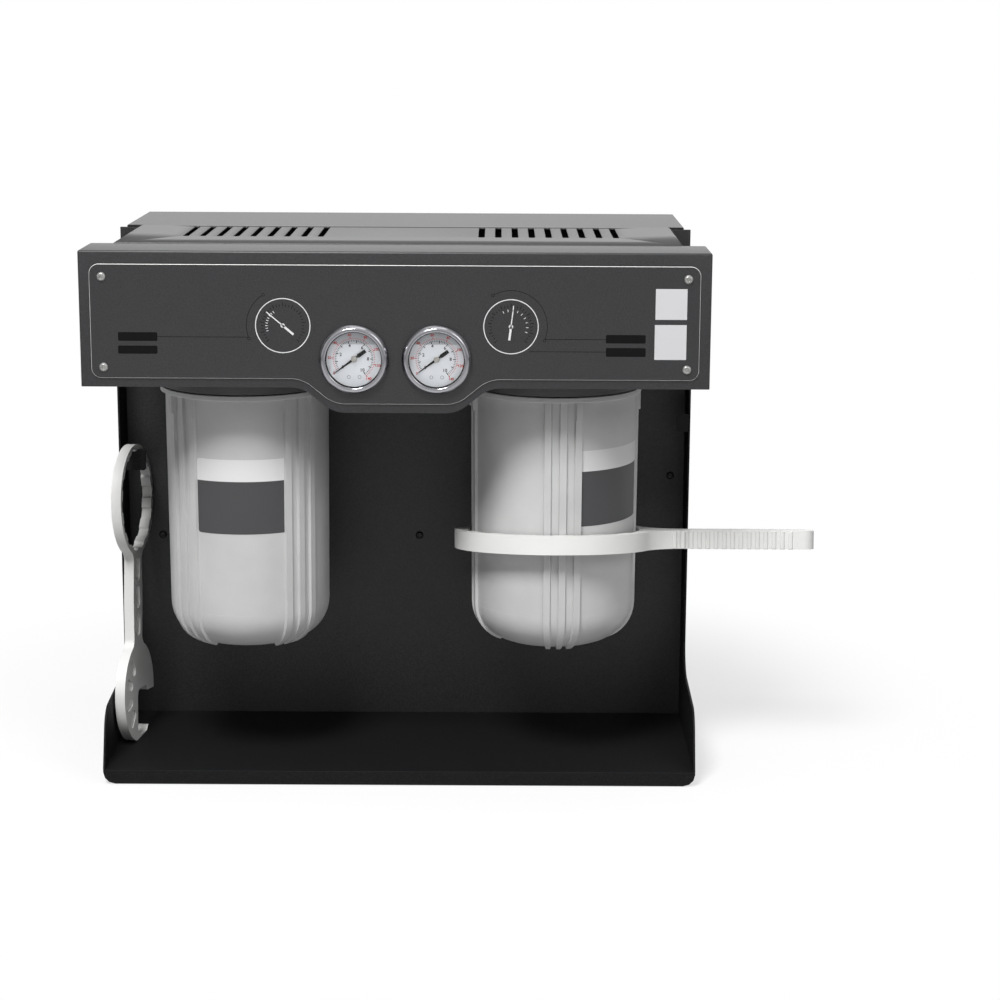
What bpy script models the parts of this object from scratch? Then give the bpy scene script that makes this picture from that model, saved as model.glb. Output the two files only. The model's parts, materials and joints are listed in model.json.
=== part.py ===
"""Under-counter reverse osmosis unit: a sheet-steel cabinet with two prefilters, gauges, pump and membranes.

Metres, +Z up. Heights are measured from the floor and depths from the hood's front face, which looks
along -Y. One empty then carries everything back, so that the origin lies on the floor under the middle of
the rear cabinet.
"""
from math import acos, atan2, cos, pi, radians, sin, tan

import bmesh
import bpy
from mathutils import Euler, Matrix, Vector

# Gaps and cuts
GAP = 0.0003
OVERRUN = 0.004
MERGE = 0.000001

# Sheet-steel cabinet
SHEET = 0.002
HOOD_SIDE = 0.023
HOOD_DEPTH = 0.0737
HOOD_HEIGHT = 0.1387
ROOF_SPACE = 0.0415
LOBE_DROP = 0.0258
LOBE_FOOT = 0.063
LOBE_SHOULDER = 0.095
LOBE_ROUND = 0.034
FASCIA_TOP_MARGIN = 0.0133
FASCIA_SIDE_MARGIN = 0.0115
FASCIA_LOW_MARGIN = 0.0093
FASCIA_CORNER = 0.010
FASCIA_THICK = 0.002
COVER_SIDE = 0.038
COVER_PROUD = 0.0008
COVER_LIP = 0.0072
VENT_AT = 0.158
VENT_COUNT = 9
VENT_PITCH = 0.018
VENT_WIDTH = 0.007
VENT_LENGTH = 0.110
VENT_FRONT = 0.145
BACK_PANEL_SPACE = 0.1324
BACK_PANEL_DROP = 0.0017
CABINET_INSET = 0.0005
REAR_INSET = 0.0075
REAR_DEPTH = 0.1705
REAR_PROUD = 0.0005
BASE_FRONT = 0.05475
BASE_HEIGHT = 0.0155
BASE_CORNER = 0.0130
BASE_RETURN = 0.020
CHEEK_DEPTH = 0.0526
CHEEK_DROP = 0.0215
CHEEK_TOE = 0.076
CHEEK_TOE_HEIGHT = 0.077
CHEEK_TOE_ROUND = 0.014
CHEEK_KNEE_HEIGHT = 0.0845
CHEEK_KNEE_ROUND = 0.035
TAB_REACH = 0.030
TAB_HEIGHT = 0.0235
LEFT_TAB_TOP = 0.336
RIGHT_TAB_TOP = 0.3805
TAB_CORNER = 0.003

# Pan-head screws: (across, height) of each one
FASCIA_SCREW_DROP = 0.0261
FASCIA_SCREW_RISE = 0.0206
FASCIA_SCREW_INSET = 0.024
SCREW_HEAD_RADIUS = 0.0046
SCREW_HEAD_HEIGHT = 0.0024
SCREW_SHANK_RADIUS = 0.0021
SCREW_SHANK_LENGTH = 0.012
SCREW_RECESS_RADIUS = 0.0018
SCREW_RECESS_DEPTH = 0.0014
SCREW_CROWN_SHARE = 0.68
SCREW_SEGMENTS = 8
PANEL_SCREW_SHARES = ((-0.4382, 0.3915), (0.0235, 0.3924), (0.4726, 0.5157))

# Pressure gauges
GAUGE_AT = 0.042
GAUGE_RISE = 0.0555
GAUGE_CAN_RADIUS = 0.0313
GAUGE_CAN_WALL = 0.002
GAUGE_CAN_DEPTH = 0.030
GAUGE_RIM = 0.0053
GAUGE_SOCKET_RADIUS = 0.011
GAUGE_SOCKET_LENGTH = 0.012
GAUGE_STEM_RADIUS = 0.0065
GAUGE_STEM_LENGTH = 0.013
BEZEL_RADIUS = 0.034
BEZEL_FRONT = 0.0099
BEZEL_LIP = 0.0286
BEZEL_SHOULDER = 0.006
DIAL_THICK = 0.0008
DIAL_FACE = -0.0002
LENS_THICK = 0.0017
NEEDLE_LENGTH = 0.0235
NEEDLE_TAIL = 0.009
NEEDLE_WIDTH = 0.0028
NEEDLE_TAIL_WIDTH = 0.0044
NEEDLE_THICK = 0.0007
NEEDLE_HUB_RADIUS = 0.0030
NEEDLE_HUB_HEIGHT = 0.0024
NEEDLE_ZERO = radians(135)

# Filter housings
FILTER_AT = 0.166
FILTER_DEPTH = 0.1405
SUMP_RADIUS_TOP = 0.0875
SUMP_DRAFT = 0.0015
SUMP_BOTTOM = 0.146
SUMP_LENGTH = 0.2736
SUMP_ROUND = 0.041
SUMP_WALL = 0.006
SUMP_RIB = 0.003
SUMP_RIB_WIDTH = 0.0088
SUMP_RIB_TAPER = 0.0012
SUMP_BOSS = 0.0048
SUMP_BOSS_LENGTH = 0.0191
SUMP_BOSS_SLOPE = 0.003
RIB_GROUPS = 4
RIB_PITCH = radians(10.5)
LEFT_RIB_TURN = radians(43)
RIGHT_RIB_TURN = radians(6.8)
COLLAR_PROUD = 0.0055
COLLAR_HEIGHT = 0.0164
NECK_STEP = 0.0035
NECK_HEIGHT = 0.024
HEAD_CEILING = 0.0056
HEAD_HEIGHT = 0.074
HEAD_SLOPE = 0.018
HEAD_DRAW_IN = 0.015
HEAD_BOSS_RADIUS = 0.040
HEAD_BOSS_HEIGHT = 0.030
POST_RADIUS = 0.025
PORT_RISE = 0.020
PORT_RADIUS = 0.020
PORT_PROUD = 0.015
PORT_SUNK = 0.005
SEAL_RADIUS = 0.0025
SEAT_RADIUS = 0.030
SEAT_HEIGHT = 0.006
CARTRIDGE_RADIUS = 0.057
CARTRIDGE_LENGTH = 0.248
CARTRIDGE_CAP = 0.012
CARTRIDGE_CAP_RADIUS = 0.059
CARTRIDGE_PLEATS = 18
CARTRIDGE_PLEAT_DEPTH = 0.006
BUTTON_RADIUS = 0.007
BUTTON_OUT = 0.0585
BUTTON_PROUD = 0.007
BUTTON_TRAVEL = 0.004
BUTTON_DEPTH = 0.011
BRACKET_THICK = 0.003
BRACKET_FLANGE = 0.026
BRACKET_MARGIN = 0.012

# Pipes
CROSS_PIPE_RADIUS = 0.016
CROSS_NUT_RADIUS = 0.022
CROSS_NUT_LENGTH = 0.020
HOSE_RADIUS = 0.008
HOSE_BEND = 0.009
FEED_PIPE_RADIUS = 0.010
PIPE_BEND = 0.022
PANEL_HOLE_RADIUS = 0.014

# Wrenches
RING_TOOTH = 0.0035
RING_WALL = 0.011
RING_TEETH = 16
RING_DRAFT_SHARE = 0.12
RING_HEIGHT = 0.020
RING_RISE = 0.108
RING_TILT = radians(9.7)
RING_HANDLE_REACH = 0.284
RING_HANDLE_WIDTH = 0.034
RING_HANDLE_NECK = 0.026
RING_HANDLE_ROUND = 0.012
RING_FACETS = 30
RING_FLARE = 0.052
GRIP_NECK = 0.0160
GRIP_END = 0.0255
GRIP_PITCH = 0.009
GRIP_DEPTH = 0.0016
HOOKED_RING_OUTER = 0.062
HOOKED_RING_INNER = 0.052
HOOKED_RING_RECESS = 0.0545
HOOKED_RING_TEETH = 14
HOOKED_THICK = 0.011
HOOKED_SIDE = 0.0161
HOOKED_FORWARD = 0.0153
HOOKED_TURN = radians(8)
HOOKED_LEAN = radians(8)
HOOKED_ROLL = radians(1.3)
HOOKED_HANDLE_HALF = 0.017
HOOKED_WAIST_HALF = 0.0145
HOOKED_FLARE = 0.030
HOOKED_SWEEP = radians(326)
HOOKED_FACETS = 26
JAW_FORWARD = 0.0027
JAW_DOWN = 0.2160
JAW_RADIUS = 0.0555
JAW_THROAT = 0.017
JAW_MOUTH = 0.046
JAW_MOUTH_TOP = -0.001
JAW_MOUTH_ROUND = 0.008
WEB_DEPTH = 0.0035
WEB_COUNT = 3
WEB_LENGTH = 0.026
WEB_WIDTH = 0.015
WEB_PITCH = 0.031
WEB_START = 0.078
JAW_WEB_COUNT = 4
JAW_WEB_RADIUS = 0.037
JAW_WEB_LENGTH = 0.022
JAW_WEB_WIDTH = 0.011
JAW_WEB_PITCH = radians(34)
JAW_WEB_START = radians(128)

# Pressure vessels with their membranes
VESSEL_SIDE = 0.0175
VESSEL_PITCH = 0.125
VESSEL_DEPTH_SHARE = 0.5
VESSEL_RADIUS = 0.051
VESSEL_WALL = 0.006
VESSEL_LENGTH = 0.405
VESSEL_CAP_RADIUS = 0.0575
VESSEL_CAP_HEIGHT = 0.042
VESSEL_CAP_PLUG = 0.020
VESSEL_CAP_LUGS = 12
VESSEL_CAP_LUG_DEPTH = 0.003
VESSEL_PORT_RADIUS = 0.013
VESSEL_PORT_HEIGHT = 0.014
MEMBRANE_RADIUS = 0.0445
MEMBRANE_TUBE_RADIUS = 0.009
MEMBRANE_END = 0.014
VESSEL_BRACKET_HEIGHT = 0.300
VESSEL_BRACKET_DEPTH = 0.150
VESSEL_BRACKET_LIP = 0.025
VESSEL_BRACKET_MARGIN = 0.014

# Pump and motor, turned about an axis along X
MOTOR_SIDE = 0.0607
MOTOR_LENGTH = 0.135
MOTOR_RADIUS = 0.056
MOTOR_FIN = 0.006
MOTOR_FINS = 12
MOTOR_HEIGHT = 0.092
MOTOR_END = 0.012
MOTOR_FOOT_WIDTH = 0.100
MOTOR_FOOT_LENGTH = 0.080
MOTOR_FOOT_THICK = 0.010
SHAFT_RADIUS = 0.008
SHAFT_STUB = 0.026
FAN_RADIUS = 0.044
FAN_BLADES = 6
FAN_WIDTH = 0.018
FAN_HUB_RADIUS = 0.015
FAN_BLADE_THICK = 0.003
FAN_GAP = 0.005
FAN_COVER_DEPTH = 0.034
FAN_COVER_WALL = 0.0015
FAN_COVER_HOLES = 6
FAN_COVER_HOLE = 0.0075
FAN_COVER_HOLE_RING = 0.030
PUMP_RADIUS = 0.046
PUMP_LENGTH = 0.070
PUMP_NECK_RADIUS = 0.034
PUMP_NECK_LENGTH = 0.012
PUMP_PORT_RADIUS = 0.014
PUMP_PORT_HEIGHT = 0.016

# Rear door, electrics and bulkhead ports
DOOR_CORNER = 0.006
LOUVRES = 9
LOUVRE_PITCH = 0.014
LOUVRE_HEIGHT = 0.005
LOUVRE_WIDTH = 0.090
LOUVRE_SIDE = 0.112
LOUVRE_BOTTOM = 0.060
CONTROL_WIDTH = 0.190
CONTROL_DEPTH = 0.062
CONTROL_HEIGHT = 0.150
CONTROL_SIDE = 0.025
CONTROL_BOTTOM = 0.285
CONTROL_CORNER = 0.008
PORT_ROW_DROP = 0.050
PORT_PITCH = 0.065
GLAND_SIDE = 0.062
GLAND_PITCH = 0.080
FITTING_RADIUS = 0.0132
FITTING_FLANGE_RADIUS = 0.019
FITTING_FLANGE = 0.005
FITTING_OUT = 0.024
FITTING_IN = 0.022
FITTING_BORE = 0.0085
GLAND_RADIUS = 0.009
GLAND_NUT_RADIUS = 0.0125
GLAND_NUT_LENGTH = 0.012
GLAND_BORE = 0.004
VALVE_WIDTH = 0.036
VALVE_LENGTH = 0.046
VALVE_HEIGHT = 0.026
COIL_RADIUS = 0.013
COIL_HEIGHT = 0.024

# Facets round the circle, and steps round a corner
FINE = 24
ROUND = 20
COARSE = 12
SMALL = 8
CORNER_STEPS = 3
FOOT_STEPS = 4

# Derived places
SUMP_RADIUS_LOW = SUMP_RADIUS_TOP - SUMP_DRAFT
COLLAR_RADIUS = SUMP_RADIUS_TOP + COLLAR_PROUD
NECK_RADIUS = SUMP_RADIUS_TOP - NECK_STEP
HEAD_TOP_RADIUS = COLLAR_RADIUS - HEAD_DRAW_IN
PORT_REACH = COLLAR_RADIUS + PORT_PROUD
PORT_ROOT = COLLAR_RADIUS - PORT_SUNK
COVER_WIDTH = 2 * (FILTER_AT + COLLAR_RADIUS + COVER_SIDE)
HOOD_WIDTH = COVER_WIDTH + 2 * HOOD_SIDE
CABINET_WIDTH = HOOD_WIDTH - 2 * CABINET_INSET
REAR_WIDTH = CABINET_WIDTH - 2 * REAR_INSET
COLLAR_LOW = SUMP_BOTTOM + SUMP_LENGTH
COLLAR_HIGH = COLLAR_LOW + COLLAR_HEIGHT
SUMP_BOSS_FOOT = COLLAR_LOW - SUMP_BOSS_LENGTH
HEAD_TOP = COLLAR_HIGH + HEAD_HEIGHT
HEAD_SHOULDER = HEAD_TOP - HEAD_SLOPE
HOOD_TOP = HEAD_TOP + HEAD_BOSS_HEIGHT + ROOF_SPACE
HOOD_SIDE_BOTTOM = HOOD_TOP - HOOD_HEIGHT
COVER_TOP = HOOD_TOP + COVER_PROUD
COVER_SIDE_BOTTOM = HOOD_SIDE_BOTTOM + COVER_LIP
BACK_PANEL_TOP = HOOD_TOP - BACK_PANEL_DROP
REAR_TOP = HOOD_TOP + REAR_PROUD
CHEEK_TOP = HOOD_TOP - CHEEK_DROP
FASCIA_SCREW_HIGH = HOOD_TOP - FASCIA_SCREW_DROP
FASCIA_SCREW_LOW = HOOD_SIDE_BOTTOM + FASCIA_SCREW_RISE
GAUGE_HEIGHT = HOOD_SIDE_BOTTOM - LOBE_DROP + GAUGE_RISE
PORT_ROW_HEIGHT = REAR_TOP - PORT_ROW_DROP
RING_LEVEL = SUMP_BOTTOM + RING_RISE
BACK_PANEL_AT = FILTER_DEPTH + BACK_PANEL_SPACE
CHEEK_FRONT = BACK_PANEL_AT - CHEEK_DEPTH
HOOKED_ACROSS = HOOKED_SIDE - CABINET_WIDTH / 2
HOOKED_DEPTH = CHEEK_FRONT - HOOKED_FORWARD
REAR_FRONT = BACK_PANEL_AT + SHEET + GAP
REAR_BACK = REAR_FRONT + REAR_DEPTH
ORIGIN_DEPTH = REAR_FRONT + REAR_DEPTH / 2
VESSEL_DEPTH = REAR_FRONT + REAR_DEPTH * VESSEL_DEPTH_SHARE
NECK_TOP = COLLAR_HIGH + NECK_HEIGHT
CEILING = NECK_TOP + HEAD_CEILING
PORT_HEIGHT = NECK_TOP + PORT_RISE
PORT_END = FILTER_DEPTH + PORT_REACH
CARTRIDGE_FOOT = SUMP_BOTTOM + SUMP_WALL + SEAT_HEIGHT + GAP
CARTRIDGE_HEAD = CARTRIDGE_FOOT + CARTRIDGE_LENGTH
RING_TIP_ANGLE = pi / RING_TEETH / 2
RING_INNER = (
    ((SUMP_RADIUS_LOW + SUMP_RADIUS_TOP) / 2 + SUMP_RIB + GAP + RING_HEIGHT / 2 * sin(RING_TILT))
    / cos(RING_TILT) / cos(RING_TIP_ANGLE)
)
RING_RECESS = RING_INNER + RING_TOOTH
RING_OUTER = RING_RECESS + RING_WALL
GRIP_START = RING_OUTER + RING_FLARE / 2 + GRIP_NECK
GRIP_RIBS = int((RING_HANDLE_REACH - GRIP_END - GRIP_START) / GRIP_PITCH)
REAR_HALF = REAR_WIDTH / 2
VESSEL_FIRST = SHEET + VESSEL_SIDE + VESSEL_CAP_RADIUS - REAR_HALF
VESSEL_ACROSS = (VESSEL_FIRST, VESSEL_FIRST + VESSEL_PITCH)
MOTOR_START = REAR_HALF - SHEET - MOTOR_SIDE - FAN_COVER_DEPTH - GAP - MOTOR_LENGTH
CONTROL_AT = REAR_HALF - SHEET - CONTROL_SIDE - CONTROL_WIDTH / 2
LOUVRE_AT = REAR_HALF - LOUVRE_SIDE - LOUVRE_WIDTH / 2
GLAND_ACROSS = REAR_HALF - GLAND_SIDE
LAST_PORT = GLAND_ACROSS - GLAND_PITCH
PORT_ROW = (LAST_PORT - 2 * PORT_PITCH, LAST_PORT - PORT_PITCH, LAST_PORT)
PUMP_MIDDLE = MOTOR_START - PUMP_NECK_LENGTH - GAP - PUMP_LENGTH / 2


for old in list(bpy.data.objects):
    bpy.data.objects.remove(old, do_unlink=True)


def finish(name, colour, roughness, metallic=0.0, alpha=1.0):
    """One surface: its linear colour, roughness and metallic value."""
    surface = bpy.data.materials.new(name)
    surface.use_nodes = True
    shader = surface.node_tree.nodes["Principled BSDF"]
    shader.inputs["Base Color"].default_value = (*colour, 1.0)
    shader.inputs["Roughness"].default_value = roughness
    shader.inputs["Metallic"].default_value = metallic
    shader.inputs["Alpha"].default_value = alpha
    return surface


hood_paint = finish("grey_structure_paint", (0.045, 0.045, 0.047), 0.5)
fascia_film = finish("dark_fascia_film", (0.030, 0.030, 0.032), 0.4)
body_paint = finish("black_structure_paint", (0.006, 0.006, 0.007), 0.6)
chrome = finish("chrome", (0.75, 0.75, 0.76), 0.12, 1.0)
zinc = finish("zinc_plated_steel", (0.55, 0.55, 0.56), 0.35, 1.0)
black_steel = finish("black_oxide_steel", (0.012, 0.012, 0.013), 0.35, 0.6)
stainless = finish("stainless_steel", (0.50, 0.50, 0.50), 0.3, 1.0)
brass = finish("brass", (0.55, 0.38, 0.13), 0.35, 1.0)
dial_white = finish("white_dial", (0.80, 0.82, 0.84), 0.6)
needle_black = finish("black_needle", (0.010, 0.010, 0.010), 0.5)
clear = finish("clear_lens", (0.90, 0.93, 0.95), 0.05, 0.0, 0.25)
sump_grey = finish("grey_polypropylene", (0.42, 0.41, 0.40), 0.45)
head_black = finish("black_polypropylene", (0.015, 0.015, 0.016), 0.45)
seal_rubber = finish("black_rubber", (0.010, 0.010, 0.010), 0.7)
filter_white = finish("white_filter_felt", (0.75, 0.74, 0.70), 0.9)
button_red = finish("red_plastic", (0.50, 0.02, 0.02), 0.4)
pipe_white = finish("white_pipe_plastic", (0.70, 0.70, 0.68), 0.4)
wrench_white = finish("white_nylon", (0.82, 0.82, 0.81), 0.45)
vessel_white = finish("white_pressure_vessel", (0.75, 0.75, 0.74), 0.35)
motor_paint = finish("grey_motor_paint", (0.10, 0.11, 0.12), 0.45)
box_grey = finish("light_grey_plastic", (0.45, 0.45, 0.44), 0.5)


root = bpy.data.objects.new("reverse_osmosis_unit", None)
root.location = (0, -ORIGIN_DEPTH, 0)
bpy.context.scene.collection.objects.link(root)


def add(name, bm, surface, at=(0, 0, 0), turn=(0, 0, 0)):
    """Put a finished bmesh into the scene as one named piece."""
    mesh = bpy.data.meshes.new(name)
    bm.to_mesh(mesh)
    bm.free()
    mesh.shade_smooth()
    mesh.set_sharp_from_angle(angle=radians(30))
    mesh.materials.append(surface)
    piece = bpy.data.objects.new(name, mesh)
    piece.location = at
    piece.rotation_euler = turn
    piece.parent = root
    bpy.context.scene.collection.objects.link(piece)
    return piece


def shape(piece, operation, bm):
    """Cut a solid from a piece, or join one to it, in the piece's own axes."""
    tool = add(f"{piece.name}_tool", bm, piece.data.materials[0], piece.location, piece.rotation_euler)
    tool.hide_render = True
    tool.display_type = "WIRE"
    step = piece.modifiers.new(operation.lower(), "BOOLEAN")
    step.operation = operation
    step.solver = "EXACT"
    step.object = tool


def cut(piece, *solids):
    for bm in solids:
        shape(piece, "DIFFERENCE", bm)


def join(piece, *solids):
    for bm in solids:
        shape(piece, "UNION", bm)


def block(across, along, up):
    """A box between three pairs of limits."""
    bm = bmesh.new()
    size = [limits[1] - limits[0] for limits in (across, along, up)]
    middle = [(limits[0] + limits[1]) / 2 for limits in (across, along, up)]
    bmesh.ops.create_cube(bm, size=1, matrix=Matrix.Translation(middle) @ Matrix.Diagonal((*size, 1)))
    return bm


def rounded(corners, steps=CORNER_STEPS):
    """Turn (a, b, radius) corners into an outline with a round arc at each corner that has a radius."""
    outline = []
    for index, (a, b, radius) in enumerate(corners):
        here = Vector((a, b))
        if radius == 0:
            outline.append((a, b))
            continue
        back = (Vector(corners[index - 1][:2]) - here).normalized()
        ahead = (Vector(corners[(index + 1) % len(corners)][:2]) - here).normalized()
        half = back.angle(ahead) / 2
        centre = here + (back + ahead).normalized() * radius / sin(half)
        arm = here + back * radius / tan(half) - centre
        end = here + ahead * radius / tan(half) - centre
        sweep = atan2(arm.x * end.y - arm.y * end.x, arm.dot(end))
        for step in range(steps + 1):
            angle = sweep * step / steps
            outline.append((
                centre.x + arm.x * cos(angle) - arm.y * sin(angle),
                centre.y + arm.x * sin(angle) + arm.y * cos(angle),
            ))
    return outline


def circle(radius, count, centre=(0, 0), start=0.0, sweep=2 * pi):
    """Points on a circle, or on an arc that includes both its ends when the sweep is not a full turn."""
    spans = count if abs(sweep) > 2 * pi - MERGE else count - 1
    angles = [start + sweep * step / spans for step in range(count)]
    return [(centre[0] + radius * cos(a), centre[1] + radius * sin(a)) for a in angles]


def plate(outline, low, high, axis="Z"):
    """Extrude a flat outline along an axis: (y, z) along X, (x, z) along Y, or (x, y) along Z."""
    lay = {
        "X": lambda a, b: (low, a, b),
        "Y": lambda a, b: (a, low, b),
        "Z": lambda a, b: (a, b, low),
    }[axis]
    bm = bmesh.new()
    face = bm.faces.new([bm.verts.new(lay(a, b)) for a, b in outline])
    grown = bmesh.ops.extrude_face_region(bm, geom=[face])["geom"]
    way = {"X": (high - low, 0, 0), "Y": (0, high - low, 0), "Z": (0, 0, high - low)}[axis]
    bmesh.ops.translate(bm, vec=way, verts=[item for item in grown if isinstance(item, bmesh.types.BMVert)])
    bmesh.ops.recalc_face_normals(bm, faces=bm.faces)
    return bm


def turned(profile, segments=ROUND, centre=(0, 0)):
    """Turn (radius, height) points about Z. A profile that leaves the axis out is a closed ring."""
    bm = bmesh.new()
    verts = [bm.verts.new((radius, 0, height)) for radius, height in profile]
    edges = [bm.edges.new(pair) for pair in zip(verts, verts[1:])]
    if profile[0][0] > 0:
        edges.append(bm.edges.new((verts[-1], verts[0])))
    bmesh.ops.spin(
        bm, geom=verts + edges, cent=(0, 0, 0), axis=(0, 0, 1), angle=2 * pi, steps=segments, use_merge=True
    )
    bmesh.ops.remove_doubles(bm, verts=bm.verts, dist=MERGE)
    bmesh.ops.recalc_face_normals(bm, faces=bm.faces)
    bmesh.ops.translate(bm, vec=(*centre, 0), verts=bm.verts)
    return bm


def rod(radius, low, high, segments=ROUND, centre=(0, 0)):
    """A plain round bar along Z."""
    return plate(circle(radius, segments, centre), low, high)


def bore_for(radius, segments=ROUND):
    """The corner radius of a faceted bore whose flats clear a round bar."""
    return radius / cos(pi / segments) + GAP


def along_x(bm):
    """Lay a solid that was made along Z along X, with its top towards +X."""
    bmesh.ops.rotate(bm, cent=(0, 0, 0), matrix=Matrix.Rotation(pi / 2, 3, "Y"), verts=bm.verts)
    return bm


def along_y(bm):
    """Lay a solid that was made along Z along Y, with its top towards +Y."""
    bmesh.ops.rotate(bm, cent=(0, 0, 0), matrix=Matrix.Rotation(-pi / 2, 3, "X"), verts=bm.verts)
    return bm


def moved(bm, offset):
    bmesh.ops.translate(bm, vec=offset, verts=bm.verts)
    return bm


def castellated(inner, outer, teeth):
    """A hole outline whose radius steps between lug tips and recesses."""
    points = []
    pitch = 2 * pi / teeth
    for tooth in range(teeth):
        start = tooth * pitch
        points += circle(inner, 2, start=start, sweep=pitch / 2 * (1 - RING_DRAFT_SHARE))
        points += circle(outer, 2, start=start + pitch / 2, sweep=pitch / 2 * (1 - RING_DRAFT_SHARE))
    return points


def tube(name, points, radius, bend, surface):
    """A round pipe through square corners, each turned on the given bend."""
    route = [Vector(point) for point in points]
    path = [route[0]]
    for before, here, after in zip(route, route[1:], route[2:]):
        back = (before - here).normalized()
        ahead = (after - here).normalized()
        centre = here + (back + ahead) * bend
        for step in range(CORNER_STEPS + 1):
            angle = pi / 2 * step / CORNER_STEPS
            path.append(centre - ahead * bend * cos(angle) - back * bend * sin(angle))
    path.append(route[-1])
    curve = bpy.data.curves.new(name, "CURVE")
    curve.dimensions = "3D"
    curve.bevel_depth = radius
    curve.bevel_resolution = 2
    curve.use_fill_caps = True
    spline = curve.splines.new("POLY")
    spline.points.add(len(path) - 1)
    for point, place in zip(spline.points, path):
        point.co = (*place, 1)
    holder = bpy.data.objects.new(name, curve)
    mesh = bpy.data.meshes.new_from_object(holder)
    bpy.data.objects.remove(holder)
    bm = bmesh.new()
    bm.from_mesh(mesh)
    bmesh.ops.remove_doubles(bm, verts=bm.verts, dist=MERGE)
    bmesh.ops.recalc_face_normals(bm, faces=bm.faces)
    return add(name, bm, surface)


# Base tray: one sheet folded down all round, with the sides rolled under into runners
def elevation(inset):
    """The tray seen from the front, with its two lower corners rolled round."""
    half = CABINET_WIDTH / 2 - inset
    turn = BASE_CORNER - inset
    return rounded((
        (-half, BASE_HEIGHT - inset, 0),
        (-half, inset, turn),
        (half, inset, turn),
        (half, BASE_HEIGHT - inset, 0),
    ))


base_back = BACK_PANEL_AT - GAP
runner = CABINET_WIDTH / 2 - BASE_CORNER - BASE_RETURN
base_tray = add("base_tray", plate(elevation(0), BASE_FRONT, base_back, "Y"), body_paint)
cut(
    base_tray,
    plate(elevation(SHEET), BASE_FRONT + SHEET, base_back + OVERRUN, "Y"),
    block(
        (-runner, runner),
        (BASE_FRONT + SHEET + BASE_RETURN, base_back + OVERRUN),
        (-OVERRUN, SHEET + OVERRUN),
    ),
)

PANEL_SCREWS = [(across * CABINET_WIDTH, up * BACK_PANEL_TOP) for across, up in PANEL_SCREW_SHARES]

# Back panel, with holes for the screws and for the two pipes that run through it
back_panel = add(
    "back_panel",
    block(
        (-CABINET_WIDTH / 2, CABINET_WIDTH / 2),
        (BACK_PANEL_AT, BACK_PANEL_AT + SHEET),
        (GAP, BACK_PANEL_TOP),
    ),
    body_paint,
)
for across, height in PANEL_SCREWS:
    hole = along_y(rod(bore_for(SCREW_SHANK_RADIUS, SMALL), -OVERRUN, SHEET + OVERRUN, SMALL))
    cut(back_panel, moved(hole, (across, BACK_PANEL_AT, height)))
for across in (-FILTER_AT, FILTER_AT):
    hole = along_y(rod(PANEL_HOLE_RADIUS, -OVERRUN, SHEET + OVERRUN, COARSE))
    cut(back_panel, moved(hole, (across, BACK_PANEL_AT, PORT_HEIGHT)))

# Cheeks: side flanges that run out into the toes of the base, each with a hook tab bent off its edge
cheek_outline = rounded((
    (BASE_FRONT, BASE_HEIGHT + GAP, 0),
    (CHEEK_TOE, CHEEK_TOE_HEIGHT, CHEEK_TOE_ROUND),
    (CHEEK_FRONT, CHEEK_KNEE_HEIGHT, CHEEK_KNEE_ROUND),
    (CHEEK_FRONT, CHEEK_TOP, 0),
    (BACK_PANEL_AT - GAP, CHEEK_TOP, 0),
    (BACK_PANEL_AT - GAP, BASE_HEIGHT + GAP, 0),
), 5)
for side, sign, tab_top in (("left", -1, LEFT_TAB_TOP), ("right", 1, RIGHT_TAB_TOP)):
    outside = sign * CABINET_WIDTH / 2
    inside = outside - sign * SHEET
    tab_end = outside - sign * TAB_REACH
    flange = plate(cheek_outline, min(outside, inside), max(outside, inside), "X")
    cheek = add(f"{side}_cheek", flange, body_paint)
    join(cheek, plate(rounded((
        (outside, tab_top - TAB_HEIGHT, 0),
        (outside, tab_top, 0),
        (tab_end, tab_top, TAB_CORNER),
        (tab_end, tab_top - TAB_HEIGHT, TAB_CORNER),
    ), 2), CHEEK_FRONT, CHEEK_FRONT + SHEET, "Y"))

# Hood: a deep front box with a lobe for the gauges, and a raised fascia on it
def hood_outline(side, top, low, corner):
    """The hood's front, pulled in by a margin at the sides, at the top and along its lower edge."""
    half = HOOD_WIDTH / 2 - side
    shoulder = HOOD_SIDE_BOTTOM + low
    foot = HOOD_SIDE_BOTTOM - LOBE_DROP + low
    return rounded((
        (-half, HOOD_TOP - top, corner),
        (-half, shoulder, corner),
        (-LOBE_SHOULDER, shoulder, LOBE_ROUND),
        (-LOBE_FOOT, foot, LOBE_ROUND),
        (LOBE_FOOT, foot, LOBE_ROUND),
        (LOBE_SHOULDER, shoulder, LOBE_ROUND),
        (half, shoulder, corner),
        (half, HOOD_TOP - top, corner),
    ))


def gauge_hole(across):
    hole = along_y(rod(bore_for(GAUGE_CAN_RADIUS, FINE), -FASCIA_THICK - OVERRUN, SHEET + OVERRUN, FINE))
    return moved(hole, (across, 0, GAUGE_HEIGHT))


fascia_screws = [
    (sign * (HOOD_WIDTH / 2 - FASCIA_SCREW_INSET), height)
    for height in (FASCIA_SCREW_HIGH, FASCIA_SCREW_LOW)
    for sign in (-1, 1)
]


def screw_hole(across, height):
    hole = along_y(rod(bore_for(SCREW_SHANK_RADIUS, SMALL), -FASCIA_THICK - OVERRUN, SHEET + OVERRUN, SMALL))
    return moved(hole, (across, 0, height))


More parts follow.
